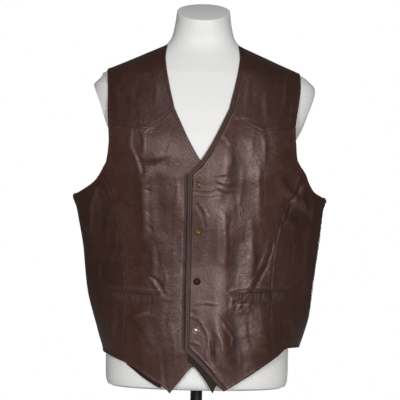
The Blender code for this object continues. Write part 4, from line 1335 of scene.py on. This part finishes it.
def makeWelt(name, lines, face, seed):
    low, high = lines
    shares = np.linspace(0, 1, welts["columns"])
    upward = np.array(welts["upward"])
    left = along([low[0], high[0]], upward)
    right = along([low[-1], high[-1]], upward)
    flat = patch(left, right, along(low, shares), along(high, shares))
    base, normal, push = face(flat)
    ends = np.minimum(ease(shares / welts["endFade"]), ease((1 - shares) / welts["endFade"]))
    rows = np.array(welts["high"])[:, None] * ends + welts["endHigh"] * (1 - ends)
    stretchUp = base * (1, 0.3, 0.16)
    gather = (1 - np.abs(noise(stretchUp, welts["gatherCell"], seed))) ** 2 - 0.45
    swell = np.sin(np.pi * np.clip(upward / 0.95, 0, 1))[:, None]
    rows = rows + welts["gather"] * gather * swell * ends
    outer = base + normal * (push + rows)[..., None]
    inner = base + normal * (push + welts["low"])[..., None]
    mouth = (upward > welts["mouth"])[:, None]
    # painted highlight on the gathers, and painted shadow in a strip along the pocket's mouth
    wear = 0.5 + welts["gatherShine"] * gather * swell * ends - welts["mouthShade"] * mouth * ends
    return addWall(name, outer, inner, normal, trimLeather, wear)


linings = {
    "below": -2.75,  # under the outer face of the front
    "thick": 1.0,
    "columns": 60,
    "rows": 16,
    "left": ([(-20, 64), (0, 45), (18, 22), (33, -3)], [(-18, 92), (10, 66), (30, 44), (46, 24)]),
    "right": (
        [(-147, 50), (-130, 38), (-112, 25), (-92, 13), (-74, 4)],
        [(-147, 68), (-130, 60), (-112, 48), (-92, 36), (-74, 26)],
    ),
    "ripple": 0.35,
    "rippleCell": 9.0,
}


def makeLining(name, lines, face):
    low, high = lines
    shares = np.linspace(0, 1, linings["columns"])
    upward = np.linspace(0, 1, linings["rows"])
    flat = patch(
        along([low[0], high[0]], upward), along([low[-1], high[-1]], upward),
        along(low, shares), along(high, shares),
    )
    base, normal, push = face(flat)
    ripple = linings["ripple"] * noise(base * (1, 1, 0.4), linings["rippleCell"], 41)
    outer = base + normal * (push + linings["below"] + ripple)[..., None]
    return addWall(name, outer, outer - normal * linings["thick"], normal, satin)


snaps = {
    "x": -3.0,
    "heights": (422.0, 325.0, 225.0, 126.0),
    "wide": 15.0,
    "around": 48,
    # out from the middle and up from the leather: a domed cap in a rolled ring
    "profile": (
        (1.00, -0.4), (1.00, 0.9), (0.985, 1.35), (0.94, 1.72), (0.88, 1.86), (0.82, 1.78), (0.775, 1.52),
        (0.745, 1.40), (0.715, 1.56), (0.66, 2.05), (0.56, 2.55), (0.42, 3.0), (0.26, 3.27), (0.12, 3.38),
    ),
    "top": 3.4,
}


def makeSnap(number, height, metal):
    centre = np.array([[snaps["x"], height]])
    base, normal, push = leftFace(centre)
    out = normal[0]
    centre = base[0] + out * push[0]
    across = unit(np.cross((0, 0, 1), out))
    up = np.cross(out, across)
    turns = np.linspace(0, 2 * math.pi, snaps["around"], endpoint=False)
    spokes = np.cos(turns)[:, None] * across + np.sin(turns)[:, None] * up
    rings = [centre + spokes * share * snaps["wide"] / 2 + out * rise for share, rise in snaps["profile"]]
    low, high = centre + out * snaps["profile"][0][1], centre + out * snaps["top"]
    return turnedPiece(f"snap_{number}_cap", rings, low, high, metal)


def turnedPiece(name, rings, low, high, material, sharp=60):
    around = len(rings[0])
    points = np.concatenate([*rings, [low], [high]])
    faces = []
    for i in range(len(rings) - 1):
        for k in range(around):
            a, b = i * around + k, i * around + (k + 1) % around
            faces.append((a, b, b + around, a + around))
    first, last = len(points) - 2, len(points) - 1
    top = (len(rings) - 1) * around
    for k in range(around):
        after = (k + 1) % around
        faces.append((first, after, k))
        faces.append((last, top + k, top + after))
    return addMesh(name, points, faces, material, sharp)


edgeBand = makeBand()
weltRight = makeWelt("welt_right_leather", welts["right"], rightFace, 51)
weltLeft = makeWelt("welt_left_leather", welts["left"], leftFace, 52)
liningLeft = makeLining("lining_left_satin", linings["left"], leftFace)
liningRight = makeLining("lining_right_satin", linings["right"], rightFace)
snapMetals = [
    makeMetal("agedBrass", (0.40, 0.29, 0.17), (0.10, 0.060, 0.035), 0.45, 0.34),
    makeMetal("goldBrass", (0.34, 0.235, 0.10), (0.11, 0.068, 0.030), 0.40, 0.40),
    makeMetal("wornBrass", (0.22, 0.14, 0.09), (0.045, 0.026, 0.018), 0.22, 0.42),
    makeMetal("brightNickel", (0.50, 0.45, 0.38), (0.14, 0.11, 0.08), 0.52, 0.30),
]
snapPieces = [
    makeSnap(number, height, metal)
    for number, (height, metal) in enumerate(zip(snaps["heights"], snapMetals), 1)
]
print("band, welts, linings and snaps ready")


# ---- the dress form

formCut = table("height right left front back", [
    (0, 178, 178, -99, 105),
    (4, 187, 187, -107, 113),
    (13, 190.5, 190.5, -111, 117),
    (40, 192, 192, -112, 118),
    (75, 192, 192, -112, 118),
    (120, 187, 187, -110, 113),
    (180, 172, 172, -104, 101),
    (250, 160, 160, -100, 90),
    (320, 166, 166, -108, 93),
    (400, 176, 176, -120, 103),
    (470, 184, 184, -127, 112),
    (519, 201, 201, -123.5, 115),
    (550, 224, 226, -116, 114),
    (575, 232, 236, -109.5, 111),
    (600, 234, 240, -100.5, 106),
    (617, 232, 241, -93.5, 101),
    (631, 228, 237, -87.5, 95.5),
    (645, 215, 224, -81.3, 89.5),
    (651, 210, 217, -78.7, 87),
])
armCap = table("height right left", [
    (470, 184.5, 186),
    (519, 187, 201),
    (550, 199, 213),
    (575, 207, 222),
    (600, 216, 231.5),
    (617, 223, 236.5),
    (631, 228, 238),
])
armCorner = table("height corner", [(0, 62), (420, 62), (470, 85), (645, 86), (684, 66), (790, 62)])
neckCut = table(
    "height half front back",
    [(717, 70, -46, 57), (730, 66, -46, 57), (744, 62.5, -48, 57), (765, 58.5, -51, 57), (787, 56, -54, 57)],
)
form = {
    "side": 6.0,
    "neckSide": 4.0,
    "shoulderSeat": 3.3,
    "neckTilt": 22.0,
    "neckRound": 3.0,
    "quarter": 36,
    "capRings": (634, 637, 640, 642.5, 648),
    "neckRings": 18,
    "evenFrom": 655.0,
    "evenEase": 35.0,
    "evenTimes": 14,
    "shoulders": (655, 659, 664, 669, 674, 679, 684, 689, 694, 699, 704, 708, 712),
    "step": 6.0,
    "stepFrom": 18.0,
    "stepTo": 630.0,
    "power": 2.2,
    "neckPower": 2.1,
    "neckClear": 3.0,  # the shoulders end this much wider than the neck
    "lipShares": (0.3, 0.65, 1.0),
}


def formRing(at, side, power, corner, caps):
    # one level ring, cut flat at the arms where it is wider than the caps
    quarter = form["quarter"]
    face = quarter // 3
    halves = []
    for half, cap in zip((at["right"], at["left"]), caps):
        cut = math.radians(corner)
        if half > cap:
            cut = math.asin((cap / half) ** (power / 2))
        over = np.linspace(cut, math.pi / 2, face + 1)[1:]
        turns = np.concatenate([np.linspace(0, cut, quarter - face + 1), over])
        x = np.minimum(half * np.sin(turns) ** (2 / power), cap)
        depth = np.abs(np.cos(turns)) ** (2 / power)
        ahead = np.stack([x, side + (at["front"] - side) * depth], axis=-1)
        behind = np.stack([x, side + (at["back"] - side) * depth], axis=-1)
        halves.append(np.concatenate([ahead, behind[-2::-1]]))
    right, left = halves
    return np.concatenate([left, right[-2:0:-1] * (-1, 1)])


def evened(rings):
    # the rings of the shoulders and the neck drawn towards their neighbours, for soft changes of slope
    rings = np.array(rings)
    calm = ease((rings[:, :, 2].mean(axis=1) - form["evenFrom"]) / form["evenEase"])[:, None, None]
    for _ in range(form["evenTimes"]):
        middle = (rings[:-2] + rings[2:]) / 2
        rings[1:-1] += (middle - rings[1:-1]) * 0.5 * calm[1:-1]
    return rings


def makeForm():
    rings = []
    clear = 1000.0

    def add(height, at, side, power, caps=(clear, clear), tilt=0.0):
        corner = float(smooth(np.array(float(height)), armCorner["height"], armCorner["corner"]))
        plan = formRing(at, side, power, corner, caps)
        z = height + (plan[:, 1] - plan[:, 1].mean()) * math.tan(math.radians(tilt))
        rings.append(np.column_stack([plan, z]))

    def read(cut, height):
        return {name: float(value) for name, value in section(cut, np.array(float(height))).items()}

    capLow, capHigh = armCap["height"][0], armCap["height"][-1]
    even = np.arange(form["stepFrom"], form["stepTo"], form["step"])
    heights = sorted(set(formCut["height"]) | set(even) | set(form["capRings"]))
    for height in heights:
        cap = read(armCap, height)
        caps = (cap["right"], cap["left"]) if capLow <= height <= capHigh else (clear, clear)
        add(height, read(formCut, height), form["side"], form["power"], caps)
    seat = form["shoulderSeat"]
    for height in form["shoulders"]:
        on = read(vestCut, height + seat)
        half = max(on["left"], neckCut["half"][0] + form["neckClear"])
        at = {"right": half, "left": half, "front": on["front"] + seat, "back": on["back"] - seat}
        add(height, at, on["side"], form["power"])
    low, high = neckCut["height"][0], neckCut["height"][-1]
    for height in np.linspace(low, high, form["neckRings"]):
        at = read(neckCut, height)
        at = {"right": at["half"], "left": at["half"], "front": at["front"], "back": at["back"]}
        tilt = form["neckTilt"] * float(ease((height - low) / (high - low)))
        add(height, at, form["neckSide"], form["neckPower"], tilt=tilt)
    rings = list(evened(rings))
    for share in form["lipShares"]:
        inset = form["neckRound"] * (1 - math.sqrt(1 - share**2))
        lip = {"right": -inset, "left": -inset, "front": inset, "back": -inset}
        lip = {name: at[name] + lip[name] for name in at}
        level = high + form["neckRound"] * share / 2
        add(level, lip, form["neckSide"], form["neckPower"], tilt=form["neckTilt"])
    return turnedPiece("form_torso_jersey", rings, rings[0].mean(axis=0), rings[-1].mean(axis=0), jersey, 40)


formPiece = makeForm()
for node in ("stand_pole", "stand_base"):
    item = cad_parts[node]
    item.data.materials.clear()
    item.data.materials.append(steel)
print("form and stand ready")


# ---- stitches

stitches = {
    "pitch": 3.6,
    "length": 2.7,
    "thick": 0.75,
    "seed": 7,
    "lift": 0.12,
    "seamIn": 3.4,
    "seamLift": 0.45,
    "rowSteps": 160,
    "bandStep": 2.0,
    "bandCornerClear": 12.0,
    # distance from the line, height over the leather, and the height where the row ends
    "bandOuter": (4.6, 1.0, 300.0),
    "bandInner": (12.1, 0.5, 560.0),
    "weltLow": (3.4, 1.3),
    "weltHigh": (3.6, 2.0),
}


def stitchTree(thread):
    tree = bpy.data.node_groups.new("stitchRows", "GeometryNodeTree")
    tree.is_modifier = True
    socket = tree.interface.new_socket
    socket("Geometry", in_out="INPUT", socket_type="NodeSocketGeometry")
    inputs = {}
    for name in ("Pitch", "Stitch Length", "Thread Thickness"):
        inputs[name] = socket(name, in_out="INPUT", socket_type="NodeSocketFloat").identifier
    inputs["Seed"] = socket("Seed", in_out="INPUT", socket_type="NodeSocketInt").identifier
    socket("Geometry", in_out="OUTPUT", socket_type="NodeSocketGeometry")
    nodes = tree.nodes
    given = nodes.new("NodeGroupInput")
    rows = nodes.new("GeometryNodeMeshToCurve")
    dots = nodes.new("GeometryNodeResampleCurve")
    dots.mode = "LENGTH"
    ball = nodes.new("GeometryNodeMeshUVSphere")
    ball.inputs["Segments"].default_value = 6
    ball.inputs["Rings"].default_value = 4
    ball.inputs["Radius"].default_value = 0.5
    way = nodes.new("GeometryNodeInputTangent")
    turn = nodes.new("FunctionNodeAlignRotationToVector")
    turn.axis = "Z"
    vary = nodes.new("FunctionNodeRandomValue")
    vary.data_type = "FLOAT"
    vary.inputs[2].default_value = 0.86
    vary.inputs[3].default_value = 1.08
    long = nodes.new("ShaderNodeMath")
    long.operation = "MULTIPLY"
    size = nodes.new("ShaderNodeCombineXYZ")
    put = nodes.new("GeometryNodeInstanceOnPoints")
    real = nodes.new("GeometryNodeRealizeInstances")
    soft = nodes.new("GeometryNodeSetShadeSmooth")
    dyed = nodes.new("GeometryNodeSetMaterial")
    dyed.inputs["Material"].default_value = thread
    out = nodes.new("NodeGroupOutput")
    for source, output, target, entry in (
        (given, "Geometry", rows, "Mesh"),
        (rows, "Curve", dots, "Curve"),
        (given, "Pitch", dots, "Length"),
        (dots, "Curve", put, "Points"),
        (ball, "Mesh", put, "Instance"),
        (way, "Tangent", turn, "Vector"),
        (turn, "Rotation", put, "Rotation"),
        (given, "Seed", vary, "Seed"),
        (given, "Stitch Length", long, 0),
        (vary, 1, long, 1),
        (given, "Thread Thickness", size, "X"),
        (given, "Thread Thickness", size, "Y"),
        (long, 0, size, "Z"),
        (size, "Vector", put, "Scale"),
        (put, "Instances", real, "Geometry"),
        (real, "Geometry", soft, "Geometry"),
        (soft, "Geometry", dyed, "Geometry"),
        (dyed, "Geometry", out, "Geometry"),
    ):
        tree.links.new(source.outputs[output], target.inputs[entry])
    return tree, inputs


def rowOn(face, line, turn, away, lift):
    # a stitch row away from a border line, on the leather's face
    flat = line + inwardOf(line, turn) * away
    return onFace(face, flat, lift)


def rowAlong(face, part, inside, away, lift):
    # a row inside a border stretch; inside is a place in the panel
    base, normal, push = face(part["at"](np.linspace(0, 1, stitches["rowSteps"])))
    shape = base + normal * push[..., None]
    square = np.cross(normal, unit(np.gradient(shape, axis=0)))
    middle = onFace(face, np.array([inside]))[0]
    if np.sum((middle - shape[len(shape) // 2]) * square[len(shape) // 2]) < 0:
        square = -square
    trimmed = slice(3, -3)
    return (shape + square * away + normal * lift)[trimmed]


def bandRows():
    line = leftEdgeLine(stitches["bandStep"], stitches["bandCornerClear"])
    rows = []
    for away, lift, top in (stitches["bandOuter"], stitches["bandInner"]):
        rows.append(rowOn(leftFace, line[line[:, 1] < top], 1, away, lift))
    return rows


def panelRows():
    rows = []

    def addRows(face, parts, middle, away, lift):
        for part in parts:
            rows.append(rowAlong(face, part, middle, away, lift))

    turned = (edges["stitchIn"], stitches["lift"])
    sewn = (stitches["seamIn"], stitches["seamLift"])
    left, right, low, _ = outlines["frontRight"]
    addRows(rightFace, (left[1], low[0], low[1], right[1]), (-90, 300), *turned)
    left, right, low, _ = outlines["frontLeft"]
    addRows(leftFace, (low[1], right[1]), (90, 300), *turned)
    left, right, low, _ = outlines["yokeRight"]
    addRows(rightFace, left + right, (-130, 620), *turned)
    addRows(rightFace, low, (-130, 620), *sewn)
    left, right, low, _ = outlines["yokeLeft"]
    addRows(leftFace, right, (130, 620), *turned)
    addRows(leftFace, low, (130, 620), *sewn)
    for name, middle in (("sideRight", (-1.25, 250.0)), ("sideLeft", (1.25, 250.0))):
        left, right, low, high = outlines[name]
        addRows(sideFace, low + high, middle, *turned)
        addRows(sideFace, left, middle, *sewn)
    left, right, low, high = outlines["back"]
    addRows(backFace, left[1:] + right[1:] + low + high[1:3], (0.0, 400.0), *turned)
    shares = np.linspace(0.01, 0.99, 90)
    for face, (low, high) in ((rightFace, welts["right"]), (leftFace, welts["left"])):
        rows.append(rowOn(face, along(low, shares), -1, *stitches["weltLow"]))
        rows.append(rowOn(face, along(high, shares), 1, *stitches["weltHigh"]))
    return rows


def makeStitches(name, rows, thread):
    points, links = [], []
    for row in rows:
        first = len(points)
        points += placed(row).tolist()
        links += [(k, k + 1) for k in range(first, len(points) - 1)]
    mesh = bpy.data.meshes.new("stitchLines")
    mesh.from_pydata(points, links, [])
    lines = addObject("stitchLines", mesh)
    tree, inputs = stitchTree(thread)
    maker = lines.modifiers.new("stitches", "NODES")
    maker.node_group = tree
    maker[inputs["Pitch"]] = stitches["pitch"] * mm
    maker[inputs["Stitch Length"]] = stitches["length"] * mm
    maker[inputs["Thread Thickness"]] = stitches["thick"] * mm
    maker[inputs["Seed"]] = stitches["seed"]
    graph = bpy.context.evaluated_depsgraph_get()
    made = bpy.data.meshes.new_from_object(lines.evaluated_get(graph))
    lines.modifiers.remove(maker)
    bpy.data.objects.remove(lines, do_unlink=True)
    made.name = name
    print(name, len(made.polygons), "faces")
    return addObject(name, made)


bandStitches = makeStitches("band_stitches", bandRows(), paleThread)
panelStitches = makeStitches("panel_stitches", panelRows(), brownThread)


# ---- what stands for what

for piece, nodes, slotName in (
    (frontRight, ["front_right"], "brown_leather"),
    (frontLeft, ["front_left"], "brown_leather"),
    (yokeRight, ["yoke_right"], "brown_leather"),
    (yokeLeft, ["yoke_left"], "brown_leather"),
    (sideRight, ["side_right"], "brown_leather"),
    (sideLeft, ["side_left"], "brown_leather"),
    (back, ["back"], "brown_leather"),
    (edgeBand, ["edge_band"], "brown_leather"),
    (weltRight, ["welt_right"], "brown_leather"),
    (weltLeft, ["welt_left"], "brown_leather"),
    (liningLeft, ["lining_left"], "dark_satin"),
    (liningRight, ["lining_right"], "dark_satin"),
    (snapPieces[0], ["snap_1"], "aged_brass"),
    (snapPieces[1], ["snap_2"], "gold_brass"),
    (snapPieces[2], ["snap_3"], "worn_brass"),
    (snapPieces[3], ["snap_4"], "bright_nickel"),
    (formPiece, ["form_torso"], "white_form"),
    (bandStitches, [], "brown_leather"),
    (panelStitches, [], "brown_leather"),
):
    dress(piece, nodes)
